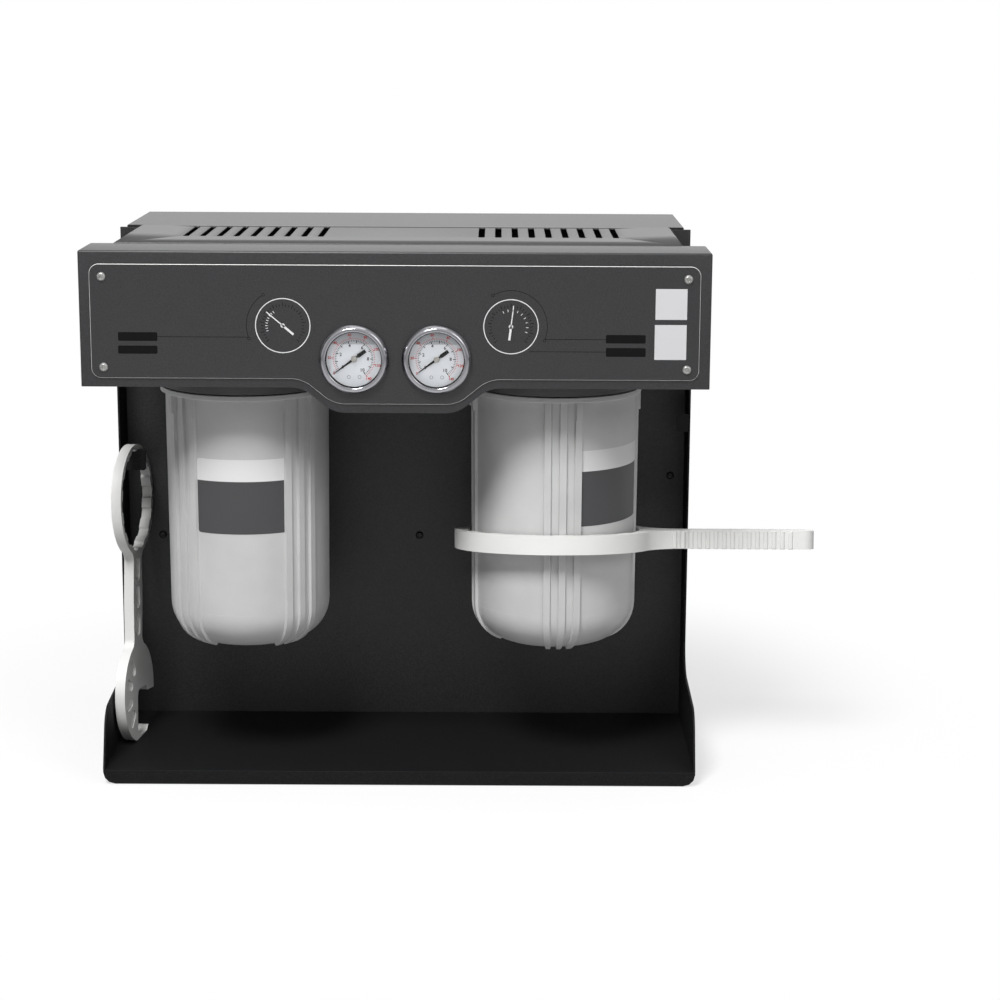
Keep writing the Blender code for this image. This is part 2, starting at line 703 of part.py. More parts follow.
hood_front_box = add("hood_front_box", plate(hood_outline(0, 0, 0, 0), 0, HOOD_DEPTH - GAP, "Y"), hood_paint)
cut(hood_front_box, block(
    (-HOOD_WIDTH / 2 + SHEET, HOOD_WIDTH / 2 - SHEET),
    (SHEET, HOOD_DEPTH + OVERRUN),
    (HOOD_SIDE_BOTTOM - LOBE_DROP - OVERRUN, HOOD_TOP - SHEET),
))
fascia_plate = add("fascia_plate", plate(
    hood_outline(FASCIA_SIDE_MARGIN, FASCIA_TOP_MARGIN, FASCIA_LOW_MARGIN, FASCIA_CORNER),
    -FASCIA_THICK - GAP, -GAP, "Y",
), fascia_film)
for panel in (hood_front_box, fascia_plate):
    cut(panel, gauge_hole(-GAUGE_AT), gauge_hole(GAUGE_AT))
    cut(panel, *[screw_hole(*place) for place in fascia_screws])

# Hood cover: a folded lid over the filter heads, with two groups of vent slots
hood_cover = add("hood_cover", block(
    (-COVER_WIDTH / 2, COVER_WIDTH / 2), (HOOD_DEPTH, BACK_PANEL_AT - GAP), (COVER_SIDE_BOTTOM, COVER_TOP)
), hood_paint)
cut(hood_cover, block(
    (-COVER_WIDTH / 2 + SHEET, COVER_WIDTH / 2 - SHEET),
    (HOOD_DEPTH - OVERRUN, BACK_PANEL_AT + OVERRUN),
    (COVER_SIDE_BOTTOM - OVERRUN, COVER_TOP - SHEET),
))
for middle in (-VENT_AT, VENT_AT):
    for slot in range(VENT_COUNT):
        across = middle + (slot - (VENT_COUNT - 1) / 2) * VENT_PITCH
        cut(hood_cover, block(
            (across - VENT_WIDTH / 2, across + VENT_WIDTH / 2),
            (VENT_FRONT, VENT_FRONT + VENT_LENGTH),
            (COVER_TOP - SHEET - OVERRUN, COVER_TOP + OVERRUN),
        ))

# Rear casing: a wrap-round sleeve, closed by a louvred door that carries the ports
rear_casing = add("rear_casing", block(
    (-REAR_WIDTH / 2, REAR_WIDTH / 2), (REAR_FRONT, REAR_BACK), (0, REAR_TOP)
), hood_paint)
cut(rear_casing, block(
    (-REAR_WIDTH / 2 + SHEET, REAR_WIDTH / 2 - SHEET),
    (REAR_FRONT - OVERRUN, REAR_BACK + OVERRUN),
    (SHEET, REAR_TOP - SHEET),
))
door_half = REAR_WIDTH / 2 - SHEET - GAP
rear_door = add("rear_door", plate(rounded((
    (-door_half, SHEET + GAP, DOOR_CORNER),
    (-door_half, REAR_TOP - SHEET - GAP, DOOR_CORNER),
    (door_half, REAR_TOP - SHEET - GAP, DOOR_CORNER),
    (door_half, SHEET + GAP, DOOR_CORNER),
), 2), REAR_BACK - SHEET, REAR_BACK, "Y"), body_paint)
for row in range(LOUVRES):
    low = LOUVRE_BOTTOM + row * LOUVRE_PITCH
    cut(rear_door, block(
        (LOUVRE_AT - LOUVRE_WIDTH / 2, LOUVRE_AT + LOUVRE_WIDTH / 2),
        (REAR_BACK - SHEET - OVERRUN, REAR_BACK + OVERRUN),
        (low, low + LOUVRE_HEIGHT),
    ))
for across, radius in [(place, FITTING_RADIUS) for place in PORT_ROW] + [(GLAND_ACROSS, GLAND_RADIUS)]:
    hole = along_y(rod(bore_for(radius, COARSE), -SHEET - OVERRUN, OVERRUN, COARSE))
    cut(rear_door, moved(hole, (across, REAR_BACK, PORT_ROW_HEIGHT)))


# Screws: pan heads with a socket, turned about their own axis
def screw(name, surface, at):
    """A screw whose head faces the front and lies on the surface at its own place."""
    body = turned((
        (0, -SCREW_SHANK_LENGTH),
        (SCREW_SHANK_RADIUS, -SCREW_SHANK_LENGTH),
        (SCREW_SHANK_RADIUS, 0),
        (SCREW_HEAD_RADIUS, 0),
        (SCREW_HEAD_RADIUS, SCREW_HEAD_HEIGHT / 3),
        (SCREW_HEAD_RADIUS * SCREW_CROWN_SHARE, SCREW_HEAD_HEIGHT),
        (SCREW_RECESS_RADIUS, SCREW_HEAD_HEIGHT),
        (SCREW_RECESS_RADIUS, SCREW_HEAD_HEIGHT - SCREW_RECESS_DEPTH),
        (0, SCREW_HEAD_HEIGHT - SCREW_RECESS_DEPTH),
    ), SCREW_SEGMENTS)
    return add(name, body, surface, at, (pi / 2, 0, 0))


for number, (across, height) in enumerate(fascia_screws, 1):
    screw(f"fascia_screw_{number}", zinc, (across, -FASCIA_THICK - 2 * GAP, height))
for number, (across, height) in enumerate(PANEL_SCREWS, 1):
    screw(f"panel_screw_{number}", black_steel, (across, BACK_PANEL_AT - GAP, height))

# Pressure gauges: their own axis comes out of the fascia, so each is turned about X
for side, across in (("left", -GAUGE_AT), ("right", GAUGE_AT)):
    place = (across, 0, GAUGE_HEIGHT)
    facing = (pi / 2, 0, 0)
    dial_back = DIAL_FACE - DIAL_THICK
    can_back = -GAUGE_CAN_DEPTH
    socket_back = can_back - GAUGE_SOCKET_LENGTH
    lens_back = GAUGE_RIM + GAP
    lip_back = lens_back + LENS_THICK + GAP
    bore = bore_for(GAUGE_CAN_RADIUS, FINE)
    add(f"{side}_gauge_case", turned((
        (0, dial_back - GAP),
        (GAUGE_CAN_RADIUS - GAUGE_CAN_WALL, dial_back - GAP),
        (GAUGE_CAN_RADIUS - GAUGE_CAN_WALL, GAUGE_RIM),
        (GAUGE_CAN_RADIUS, GAUGE_RIM),
        (GAUGE_CAN_RADIUS, can_back),
        (GAUGE_SOCKET_RADIUS, can_back),
        (GAUGE_SOCKET_RADIUS, socket_back),
        (GAUGE_STEM_RADIUS, socket_back),
        (GAUGE_STEM_RADIUS, socket_back - GAUGE_STEM_LENGTH),
        (0, socket_back - GAUGE_STEM_LENGTH),
    )), stainless, place, facing)
    add(f"{side}_gauge_dial", rod(
        GAUGE_CAN_RADIUS - GAUGE_CAN_WALL - GAP, dial_back, DIAL_FACE
    ), dial_white, place, facing)
    add(f"{side}_gauge_lens", rod(GAUGE_CAN_RADIUS, lens_back, lens_back + LENS_THICK), clear, place, facing)
    bezel_brow = BEZEL_SHOULDER + (BEZEL_FRONT - BEZEL_SHOULDER) * 2 / 3
    add(f"{side}_gauge_bezel", turned((
        (bore, FASCIA_THICK + 2 * GAP),
        (BEZEL_RADIUS, FASCIA_THICK + 2 * GAP),
        (BEZEL_RADIUS, BEZEL_SHOULDER),
        (BEZEL_RADIUS - (BEZEL_RADIUS - BEZEL_LIP) / 4, bezel_brow),
        ((BEZEL_RADIUS + BEZEL_LIP) / 2, BEZEL_FRONT),
        (BEZEL_LIP, bezel_brow),
        (BEZEL_LIP, lip_back),
        (bore, lip_back),
    ), FINE), chrome, place, facing)
    pointer = plate((
        (0, NEEDLE_LENGTH),
        (-NEEDLE_WIDTH / 2, 0),
        (-NEEDLE_TAIL_WIDTH / 2, -NEEDLE_TAIL),
        (NEEDLE_TAIL_WIDTH / 2, -NEEDLE_TAIL),
        (NEEDLE_WIDTH / 2, 0),
    ), DIAL_FACE + GAP, DIAL_FACE + GAP + NEEDLE_THICK)
    at_zero = Matrix.Rotation(NEEDLE_ZERO, 3, "Z")
    bmesh.ops.rotate(pointer, cent=(0, 0, 0), matrix=at_zero, verts=pointer.verts)
    needle = add(f"{side}_gauge_needle", pointer, needle_black, place, facing)
    join(needle, rod(NEEDLE_HUB_RADIUS, DIAL_FACE + GAP, DIAL_FACE + GAP + NEEDLE_HUB_HEIGHT, COARSE))


# Filter housings: a ribbed sump that screws up into a head, with its cartridge, seal and relief button
def rib_ring(radius, height, rib, boss, turn, lean=pi / 2):
    """One section of the sump: groups of three ribs, whose outer two are higher where they become bosses."""
    points = []
    group_pitch = 2 * pi / RIB_GROUPS
    arc_start = RIB_PITCH + SUMP_RIB_WIDTH / 2 / SUMP_RADIUS_TOP
    arc_span = group_pitch - 2 * arc_start
    for group in range(RIB_GROUPS):
        middle = turn + group * group_pitch
        for place in (-1, 0, 1):
            rise = boss if place else rib
            flank = SUMP_RIB_WIDTH / 2 / SUMP_RADIUS_TOP
            crest = flank - SUMP_RIB_TAPER / SUMP_RADIUS_TOP
            for offset, proud in ((-flank, 0), (-crest, rise), (crest, rise), (flank, 0)):
                points.append((middle + place * RIB_PITCH + offset, proud))
        for step in (1, 2, 3):
            points.append((middle + arc_start + arc_span * step / 4, 0))
    return [
        (
            (radius + proud * sin(lean)) * cos(angle),
            (radius + proud * sin(lean)) * sin(angle),
            height - proud * cos(lean),
        )
        for angle, proud in points
    ]


def lofted(rings):
    """Skin a stack of rings that have the same number of points, and close both ends."""
    bm = bmesh.new()
    rows = [[bm.verts.new(point) for point in ring] for ring in rings]
    count = len(rows[0])
    for lower, upper in zip(rows, rows[1:]):
        for index in range(count):
            after = (index + 1) % count
            bm.faces.new((lower[index], lower[after], upper[after], upper[index]))
    bm.faces.new(rows[0])
    bm.faces.new(rows[-1])
    bmesh.ops.remove_doubles(bm, verts=bm.verts, dist=MERGE)
    bmesh.ops.recalc_face_normals(bm, faces=bm.faces)
    return bm


def sump_sections(turn):
    """The sump from its rounded foot up to the threaded neck."""
    sections = []
    for step in range(FOOT_STEPS + 1):
        lean = pi / 2 * step / FOOT_STEPS
        radius = SUMP_RADIUS_LOW - SUMP_ROUND * (1 - sin(lean))
        height = SUMP_BOTTOM + SUMP_ROUND * (1 - cos(lean))
        rib = SUMP_RIB * min(1, 2 * step / FOOT_STEPS)
        sections.append(rib_ring(radius, height, rib, rib, turn, lean))
    slope_foot = SUMP_BOSS_FOOT + SUMP_BOSS_SLOPE
    sections += [
        rib_ring(SUMP_RADIUS_TOP, SUMP_BOSS_FOOT, SUMP_RIB, SUMP_RIB, turn),
        rib_ring(SUMP_RADIUS_TOP, slope_foot, SUMP_RIB, SUMP_BOSS, turn),
        rib_ring(SUMP_RADIUS_TOP, COLLAR_LOW, SUMP_RIB, SUMP_BOSS, turn),
        rib_ring(COLLAR_RADIUS, COLLAR_LOW, 0, 0, turn),
        rib_ring(COLLAR_RADIUS, COLLAR_HIGH, 0, 0, turn),
        rib_ring(NECK_RADIUS, COLLAR_HIGH, 0, 0, turn),
        rib_ring(NECK_RADIUS, NECK_TOP, 0, 0, turn),
    ]
    return sections


def pleated(radius, depth, count):
    """A star outline with one fold for each pleat."""
    points = []
    for pleat in range(count):
        points += circle(radius, 1, start=2 * pi * pleat / count)
        points += circle(radius - depth, 1, start=2 * pi * (pleat + 1 / 2) / count)
    return points


sump_bore = NECK_RADIUS - SUMP_WALL
for side, sign, turn in (("left", -1, LEFT_RIB_TURN), ("right", 1, RIGHT_RIB_TURN)):
    place = (sign * FILTER_AT, FILTER_DEPTH, 0)
    sump = add(f"{side}_sump", lofted(sump_sections(turn - pi / 2)), sump_grey, place)
    cavity = [
        (0, SUMP_BOTTOM + SUMP_WALL + SEAT_HEIGHT),
        (SEAT_RADIUS, SUMP_BOTTOM + SUMP_WALL + SEAT_HEIGHT),
        (SEAT_RADIUS, SUMP_BOTTOM + SUMP_WALL),
    ]
    for step in range(FOOT_STEPS):
        lean = pi / 2 * step / (FOOT_STEPS - 1)
        cavity.append((
            sump_bore - (SUMP_ROUND - SUMP_WALL) * (1 - sin(lean)),
            SUMP_BOTTOM + SUMP_WALL + (SUMP_ROUND - SUMP_WALL) * (1 - cos(lean)),
        ))
    cavity += [(sump_bore, NECK_TOP + OVERRUN), (0, NECK_TOP + OVERRUN)]
    cut(sump, turned(cavity))

    bore = bore_for(NECK_RADIUS)
    rim = COLLAR_HIGH + GAP
    head = add(f"{side}_filter_head", turned((
        (0, CARTRIDGE_HEAD + GAP),
        (POST_RADIUS, CARTRIDGE_HEAD + GAP),
        (POST_RADIUS, CEILING),
        (bore, CEILING),
        (bore, rim),
        (COLLAR_RADIUS, rim),
        (COLLAR_RADIUS, HEAD_SHOULDER),
        (HEAD_TOP_RADIUS, HEAD_TOP),
        (HEAD_BOSS_RADIUS, HEAD_TOP),
        (HEAD_BOSS_RADIUS, HEAD_TOP + HEAD_BOSS_HEIGHT),
        (0, HEAD_TOP + HEAD_BOSS_HEIGHT),
    )), head_black, place)
    inward = along_x(rod(PORT_RADIUS, PORT_ROOT, PORT_REACH, COARSE))
    if sign > 0:
        bmesh.ops.rotate(inward, cent=(0, 0, 0), matrix=Matrix.Rotation(pi, 3, "Z"), verts=inward.verts)
    rearward = along_y(rod(PORT_RADIUS, PORT_ROOT, PORT_REACH, COARSE))
    join(head, moved(inward, (0, 0, PORT_HEIGHT)), moved(rearward, (0, 0, PORT_HEIGHT)))
    button_foot = HEAD_TOP - BUTTON_DEPTH
    well_foot = button_foot - BUTTON_TRAVEL - GAP
    well = rod(bore_for(BUTTON_RADIUS, COARSE), well_foot, HEAD_TOP + OVERRUN, COARSE, (0, -BUTTON_OUT))
    cut(head, well)
    add(
        f"{side}_relief_button",
        rod(BUTTON_RADIUS, button_foot, HEAD_TOP + BUTTON_PROUD, COARSE),
        button_red,
        (place[0], FILTER_DEPTH - BUTTON_OUT, 0),
    )
    seal_middle = NECK_RADIUS - SUMP_WALL / 2
    section = circle(SEAL_RADIUS, 5, centre=(seal_middle, NECK_TOP + GAP + SEAL_RADIUS), start=pi / 10)
    add(f"{side}_o_ring", turned(section, COARSE), seal_rubber, place)
    cartridge = add(f"{side}_cartridge", plate(
        pleated(CARTRIDGE_RADIUS, CARTRIDGE_PLEAT_DEPTH, CARTRIDGE_PLEATS),
        CARTRIDGE_FOOT + CARTRIDGE_CAP / 2, CARTRIDGE_HEAD - CARTRIDGE_CAP / 2,
    ), filter_white, place)
    join(
        cartridge,
        rod(CARTRIDGE_CAP_RADIUS, CARTRIDGE_FOOT, CARTRIDGE_FOOT + CARTRIDGE_CAP),
        rod(CARTRIDGE_CAP_RADIUS, CARTRIDGE_HEAD - CARTRIDGE_CAP, CARTRIDGE_HEAD),
    )

# Head bracket: a folded shelf off the back panel that both filter heads hang from
shelf_low = HEAD_TOP + HEAD_BOSS_HEIGHT + GAP
shelf_half = COVER_WIDTH / 2 - SHEET - BRACKET_MARGIN
head_bracket = add("head_bracket", block(
    (-shelf_half, shelf_half),
    (HOOD_DEPTH + BRACKET_MARGIN, BACK_PANEL_AT - GAP),
    (shelf_low, shelf_low + BRACKET_THICK),
), body_paint)
join(head_bracket, block(
    (-shelf_half, shelf_half),
    (BACK_PANEL_AT - GAP - BRACKET_THICK, BACK_PANEL_AT - GAP),
    (shelf_low - BRACKET_FLANGE, shelf_low + BRACKET_THICK / 2),
))

# Pipes between the heads, the inlet valve, the pump and the vessels
cross_half = FILTER_AT - PORT_REACH - GAP
cross_pipe = add("cross_pipe", along_x(turned((
    (0, -cross_half),
    (CROSS_NUT_RADIUS, -cross_half),
    (CROSS_NUT_RADIUS, CROSS_NUT_LENGTH - cross_half),
    (CROSS_PIPE_RADIUS, CROSS_NUT_LENGTH - cross_half),
    (CROSS_PIPE_RADIUS, cross_half - CROSS_NUT_LENGTH),
    (CROSS_NUT_RADIUS, cross_half - CROSS_NUT_LENGTH),
    (CROSS_NUT_RADIUS, cross_half),
    (0, cross_half),
), COARSE)), pipe_white, (0, FILTER_DEPTH, PORT_HEIGHT))
hose_lane = BACK_PANEL_AT + SHEET + HOSE_RADIUS + OVERRUN
valve_front = REAR_BACK - SHEET - FITTING_IN - GAP - VALVE_LENGTH
tube("inlet_pipe", (
    (-FILTER_AT, PORT_END + GAP, PORT_HEIGHT),
    (-FILTER_AT, hose_lane, PORT_HEIGHT),
    (-FILTER_AT, hose_lane, PORT_ROW_HEIGHT),
    (PORT_ROW[0], hose_lane, PORT_ROW_HEIGHT),
    (PORT_ROW[0], valve_front - GAP, PORT_ROW_HEIGHT),
), HOSE_RADIUS, HOSE_BEND, pipe_white)
tube("transfer_pipe", (
    (FILTER_AT, PORT_END + GAP, PORT_HEIGHT),
    (FILTER_AT, VESSEL_DEPTH, PORT_HEIGHT),
    (PUMP_MIDDLE, VESSEL_DEPTH, PORT_HEIGHT),
    (PUMP_MIDDLE, VESSEL_DEPTH, MOTOR_HEIGHT + PUMP_RADIUS + PUMP_PORT_HEIGHT + GAP),
), FEED_PIPE_RADIUS, PIPE_BEND, pipe_white)

# Ring wrench on the right sump: a castellated ring with one ribbed handle, tipped up at the front
def ring_wrench_outline():
    """The ring and its handle from above, with the handle along +X."""
    neck = RING_HANDLE_NECK / 2
    half = RING_HANDLE_WIDTH / 2
    flare_angle = RING_FLARE / RING_OUTER
    outline = circle(RING_OUTER, RING_FACETS, start=flare_angle, sweep=2 * pi - 2 * flare_angle)
    lower = [(RING_OUTER + RING_FLARE / 2, -neck)]
    for rib in range(GRIP_RIBS):
        start = GRIP_START + rib * GRIP_PITCH
        lower += [
            (start, -half),
            (start + GRIP_PITCH / 2, -half),
            (start + GRIP_PITCH / 2, -half + GRIP_DEPTH),
            (start + GRIP_PITCH, -half + GRIP_DEPTH),
        ]
    tip = rounded((
        (GRIP_START + GRIP_RIBS * GRIP_PITCH, -half, 0),
        (RING_HANDLE_REACH, -half, RING_HANDLE_ROUND),
        (RING_HANDLE_REACH, half, RING_HANDLE_ROUND),
        (GRIP_START + GRIP_RIBS * GRIP_PITCH, half, 0),
    ))
    upper = [(a, -b) for a, b in reversed(lower)]
    return outline + lower + tip + upper


ring_wrench = add(
    "ring_wrench",
    plate(ring_wrench_outline(), -RING_HEIGHT / 2, RING_HEIGHT / 2),
    wrench_white,
    (FILTER_AT, FILTER_DEPTH, RING_LEVEL),
    (-RING_TILT, 0, 0),
)
cut(ring_wrench, plate(
    castellated(RING_INNER, RING_RECESS, RING_TEETH), -RING_HEIGHT / 2 - OVERRUN, RING_HEIGHT / 2 + OVERRUN
))


# Hanging wrench: a smaller ring at one end and an open jaw at the other, hung by the ring on the left tab
def oval(length, width, centre, angle):
    """A long hole's outline with pointed ends, as the webs between the ribs have."""
    shares = ((-1, 0), (-0.6, -1), (0.6, -1), (1, 0), (0.6, 1), (-0.6, 1))
    return [
        (
            centre[0] + a * length / 2 * cos(angle) - b * width / 2 * sin(angle),
            centre[1] + a * length / 2 * sin(angle) + b * width / 2 * cos(angle),
        )
        for a, b in shares
    ]


half_thick = HOOKED_THICK / 2
tab_offset = (CHEEK_FRONT + SHEET - HOOKED_DEPTH) / cos(HOOKED_TURN)
hooked_level = LEFT_TAB_TOP + 2 * GAP - HOOKED_RING_INNER * sin(acos(tab_offset / HOOKED_RING_INNER))
ring_start = (pi - HOOKED_SWEEP) / 2
ring_outer = circle(HOOKED_RING_OUTER, HOOKED_FACETS, start=ring_start, sweep=HOOKED_SWEEP)
jaw_centre = (JAW_FORWARD, -JAW_DOWN)
jaw_outer = circle(JAW_RADIUS, HOOKED_FACETS, jaw_centre, start=ring_start + pi, sweep=HOOKED_SWEEP)
hooked_outline = (
    ring_outer
    + [(-HOOKED_WAIST_HALF, -HOOKED_RING_OUTER - HOOKED_FLARE / 2)]
    + [(-HOOKED_HANDLE_HALF, jaw_centre[1] + JAW_RADIUS + HOOKED_FLARE / 2)]
    + jaw_outer
    + [(HOOKED_HANDLE_HALF, jaw_centre[1] + JAW_RADIUS + HOOKED_FLARE / 2)]
    + [(HOOKED_WAIST_HALF, -HOOKED_RING_OUTER - HOOKED_FLARE / 2)]
)
hanging_wrench = add(
    "hanging_wrench",
    plate(hooked_outline, -half_thick, half_thick, "X"),
    wrench_white,
    (HOOKED_ACROSS, HOOKED_DEPTH, hooked_level),
    Euler((-HOOKED_LEAN, -HOOKED_ROLL, -HOOKED_TURN)),
)
mouth = rounded((
    (JAW_FORWARD + JAW_THROAT, -JAW_DOWN + JAW_MOUTH_TOP, JAW_MOUTH_ROUND),
    (JAW_FORWARD + JAW_THROAT, -JAW_DOWN + JAW_MOUTH_TOP - JAW_MOUTH, JAW_MOUTH_ROUND),
    (JAW_FORWARD + 2 * JAW_RADIUS, -JAW_DOWN + JAW_MOUTH_TOP - JAW_MOUTH, 0),
    (JAW_FORWARD + 2 * JAW_RADIUS, -JAW_DOWN + JAW_MOUTH_TOP, 0),
), 3)
cut(
    hanging_wrench,
    plate(
        castellated(HOOKED_RING_INNER, HOOKED_RING_RECESS, HOOKED_RING_TEETH),
        -half_thick - OVERRUN, half_thick + OVERRUN, "X",
    ),
    plate(mouth, -half_thick - OVERRUN, half_thick + OVERRUN, "X"),
)
webs = [
    oval(WEB_LENGTH, WEB_WIDTH, (0, -WEB_START - number * WEB_PITCH), pi / 2) for number in range(WEB_COUNT)
]
for number in range(JAW_WEB_COUNT):
    angle = JAW_WEB_START + number * JAW_WEB_PITCH
    middle = circle(JAW_WEB_RADIUS, 1, jaw_centre, start=angle)[0]
    webs.append(oval(JAW_WEB_LENGTH, JAW_WEB_WIDTH, middle, angle))
for web in webs:
    cut(
        hanging_wrench,
        plate(web, half_thick - WEB_DEPTH, half_thick + OVERRUN, "X"),
        plate(web, -half_thick - OVERRUN, WEB_DEPTH - half_thick, "X"),
    )

# Pressure vessels stand on the rear floor: a tube with a closed foot, the membrane in it and a lugged cap
vessel_low = SHEET + GAP
vessel_high = vessel_low + VESSEL_LENGTH
vessel_bore = VESSEL_RADIUS - VESSEL_WALL
port_top = vessel_high + GAP + VESSEL_CAP_HEIGHT + VESSEL_PORT_HEIGHT
for number, across in enumerate(VESSEL_ACROSS, 1):
    place = (across, VESSEL_DEPTH, 0)
    add(f"membrane_vessel_{number}", turned((
        (0, vessel_low),
        (VESSEL_RADIUS, vessel_low),
        (VESSEL_RADIUS, vessel_high),
        (vessel_bore, vessel_high),
        (vessel_bore, vessel_low + VESSEL_WALL),
        (0, vessel_low + VESSEL_WALL),
    )), vessel_white, place)
    plug_low = vessel_high - VESSEL_CAP_PLUG
    element_low = vessel_low + VESSEL_WALL + GAP
    element_high = plug_low - GAP
    add(f"membrane_{number}", turned((
        (0, element_low),
        (MEMBRANE_TUBE_RADIUS, element_low),
        (MEMBRANE_TUBE_RADIUS, element_low + MEMBRANE_END),
        (MEMBRANE_RADIUS, element_low + MEMBRANE_END),
        (MEMBRANE_RADIUS, element_high - MEMBRANE_END),
        (MEMBRANE_TUBE_RADIUS, element_high - MEMBRANE_END),
        (MEMBRANE_TUBE_RADIUS, element_high),
        (0, element_high),
    ), COARSE), filter_white, place)
    cap = add(f"vessel_cap_{number}", plate(
        pleated(VESSEL_CAP_RADIUS, VESSEL_CAP_LUG_DEPTH, VESSEL_CAP_LUGS),
        vessel_high + GAP, vessel_high + GAP + VESSEL_CAP_HEIGHT,
    ), head_black, place)
    join(
        cap,
        rod(vessel_bore - GAP, plug_low, vessel_high + GAP + VESSEL_CAP_HEIGHT / 2),
        rod(VESSEL_PORT_RADIUS, vessel_high + VESSEL_CAP_HEIGHT / 2, port_top, COARSE),
    )

# Vessel bracket: a shelf off the back panel with a round seat for each vessel
seat_left = VESSEL_ACROSS[0] - VESSEL_RADIUS - VESSEL_BRACKET_MARGIN
seat_right = VESSEL_ACROSS[1] + VESSEL_RADIUS + VESSEL_BRACKET_MARGIN
vessel_bracket = add("vessel_bracket", block(
    (seat_left, seat_right),
    (REAR_FRONT, REAR_FRONT + VESSEL_BRACKET_DEPTH),
    (VESSEL_BRACKET_HEIGHT, VESSEL_BRACKET_HEIGHT + BRACKET_THICK),
), zinc)
join(vessel_bracket, block(
    (seat_left, seat_right),
    (REAR_FRONT, REAR_FRONT + BRACKET_THICK),
    (VESSEL_BRACKET_HEIGHT, VESSEL_BRACKET_HEIGHT + VESSEL_BRACKET_LIP),
))
seat_low = VESSEL_BRACKET_HEIGHT - OVERRUN
seat_high = VESSEL_BRACKET_HEIGHT + BRACKET_THICK + OVERRUN
for across in VESSEL_ACROSS:
    cut(vessel_bracket, rod(bore_for(VESSEL_RADIUS), seat_low, seat_high, ROUND, (across, VESSEL_DEPTH)))

# Motor and pump: finned body on a cast foot, a shaft with its fan under a cowl, and the pump's head
axis_at = (0, VESSEL_DEPTH, MOTOR_HEIGHT)
motor_end = MOTOR_START + MOTOR_LENGTH
fins = []
for fin in range(MOTOR_FINS):
    fin_pitch = 2 * pi / MOTOR_FINS
    fins += circle(MOTOR_RADIUS + MOTOR_FIN, 2, start=fin * fin_pitch, sweep=fin_pitch / 3)
    fins += circle(MOTOR_RADIUS, 2, start=(fin + 1 / 2) * fin_pitch, sweep=fin_pitch / 3)
fin_barrel = plate(fins, MOTOR_START + MOTOR_END, motor_end - MOTOR_END, "X")
motor_body = add("motor_body", fin_barrel, motor_paint, axis_at)
foot_middle = MOTOR_START + MOTOR_LENGTH / 2
join(
    motor_body,
    along_x(rod(MOTOR_RADIUS, MOTOR_START, motor_end)),
    block(
        (foot_middle - MOTOR_FOOT_LENGTH / 2, foot_middle + MOTOR_FOOT_LENGTH / 2),
        (-MOTOR_FOOT_WIDTH / 2, MOTOR_FOOT_WIDTH / 2),
        (SHEET + GAP - MOTOR_HEIGHT, SHEET + GAP + MOTOR_FOOT_THICK - MOTOR_HEIGHT),
    ),
    block(
        (foot_middle - MOTOR_FOOT_LENGTH / 4, foot_middle + MOTOR_FOOT_LENGTH / 4),
        (-MOTOR_FOOT_WIDTH / 4, MOTOR_FOOT_WIDTH / 4),
        (SHEET + GAP + MOTOR_FOOT_THICK / 2 - MOTOR_HEIGHT, -MOTOR_RADIUS / 2),
    ),
)
shaft_bore = bore_for(SHAFT_RADIUS, COARSE)
cut(motor_body, along_x(rod(shaft_bore, MOTOR_START - OVERRUN, motor_end + OVERRUN, COARSE)))
fan_start = motor_end + FAN_GAP
motor_rotor = add("motor_rotor", along_x(rod(
    SHAFT_RADIUS, MOTOR_START - SHAFT_STUB, fan_start + FAN_WIDTH / 2, COARSE
)), zinc, axis_at)
join(motor_rotor, along_x(rod(FAN_HUB_RADIUS, fan_start, fan_start + FAN_WIDTH, COARSE)))
for blade in range(0, FAN_BLADES, 2):
    vane = block(
        (fan_start, fan_start + FAN_WIDTH),
        (-FAN_RADIUS, FAN_RADIUS),
        (-FAN_BLADE_THICK / 2, FAN_BLADE_THICK / 2),
    )
    spin = Matrix.Rotation(pi * blade / FAN_BLADES, 3, "X")
    bmesh.ops.rotate(vane, cent=(0, 0, 0), matrix=spin, verts=vane.verts)
    join(motor_rotor, vane)
cowl_end = motor_end + GAP + FAN_COVER_DEPTH
fan_cover = add("fan_cover", along_x(turned((
    (0, cowl_end - FAN_COVER_WALL),
    (MOTOR_RADIUS - FAN_COVER_WALL, cowl_end - FAN_COVER_WALL),
    (MOTOR_RADIUS - FAN_COVER_WALL, motor_end + GAP),
    (MOTOR_RADIUS, motor_end + GAP),
    (MOTOR_RADIUS, cowl_end),
    (0, cowl_end),
))), head_black, axis_at)
for centre in circle(FAN_COVER_HOLE_RING, FAN_COVER_HOLES, start=pi / ROUND):
    cut(fan_cover, moved(
        along_x(rod(FAN_COVER_HOLE, cowl_end - FAN_COVER_WALL - OVERRUN, cowl_end + OVERRUN, SMALL)),
        (0, centre[0], centre[1]),
    ))
neck_start = MOTOR_START - GAP
pump_back = neck_start - PUMP_NECK_LENGTH
pump_head = add("pump_head", along_x(turned((
    (0, pump_back - PUMP_LENGTH),
    (PUMP_RADIUS, pump_back - PUMP_LENGTH),
    (PUMP_RADIUS, pump_back),
    (PUMP_NECK_RADIUS, pump_back),
    (PUMP_NECK_RADIUS, neck_start),
    (shaft_bore, neck_start),
    (shaft_bore, MOTOR_START - SHAFT_STUB - GAP),
    (0, MOTOR_START - SHAFT_STUB - GAP),
), COARSE)), brass, axis_at)
outlet = moved(
    along_y(rod(PUMP_PORT_RADIUS, 0, PUMP_RADIUS + PUMP_PORT_HEIGHT, COARSE)), (PUMP_MIDDLE, 0, 0)
)
bmesh.ops.rotate(outlet, cent=(PUMP_MIDDLE, 0, 0), matrix=Matrix.Rotation(pi, 3, "Z"), verts=outlet.verts)
inlet = rod(PUMP_PORT_RADIUS, PUMP_RADIUS / 2, PUMP_RADIUS + PUMP_PORT_HEIGHT, COARSE)
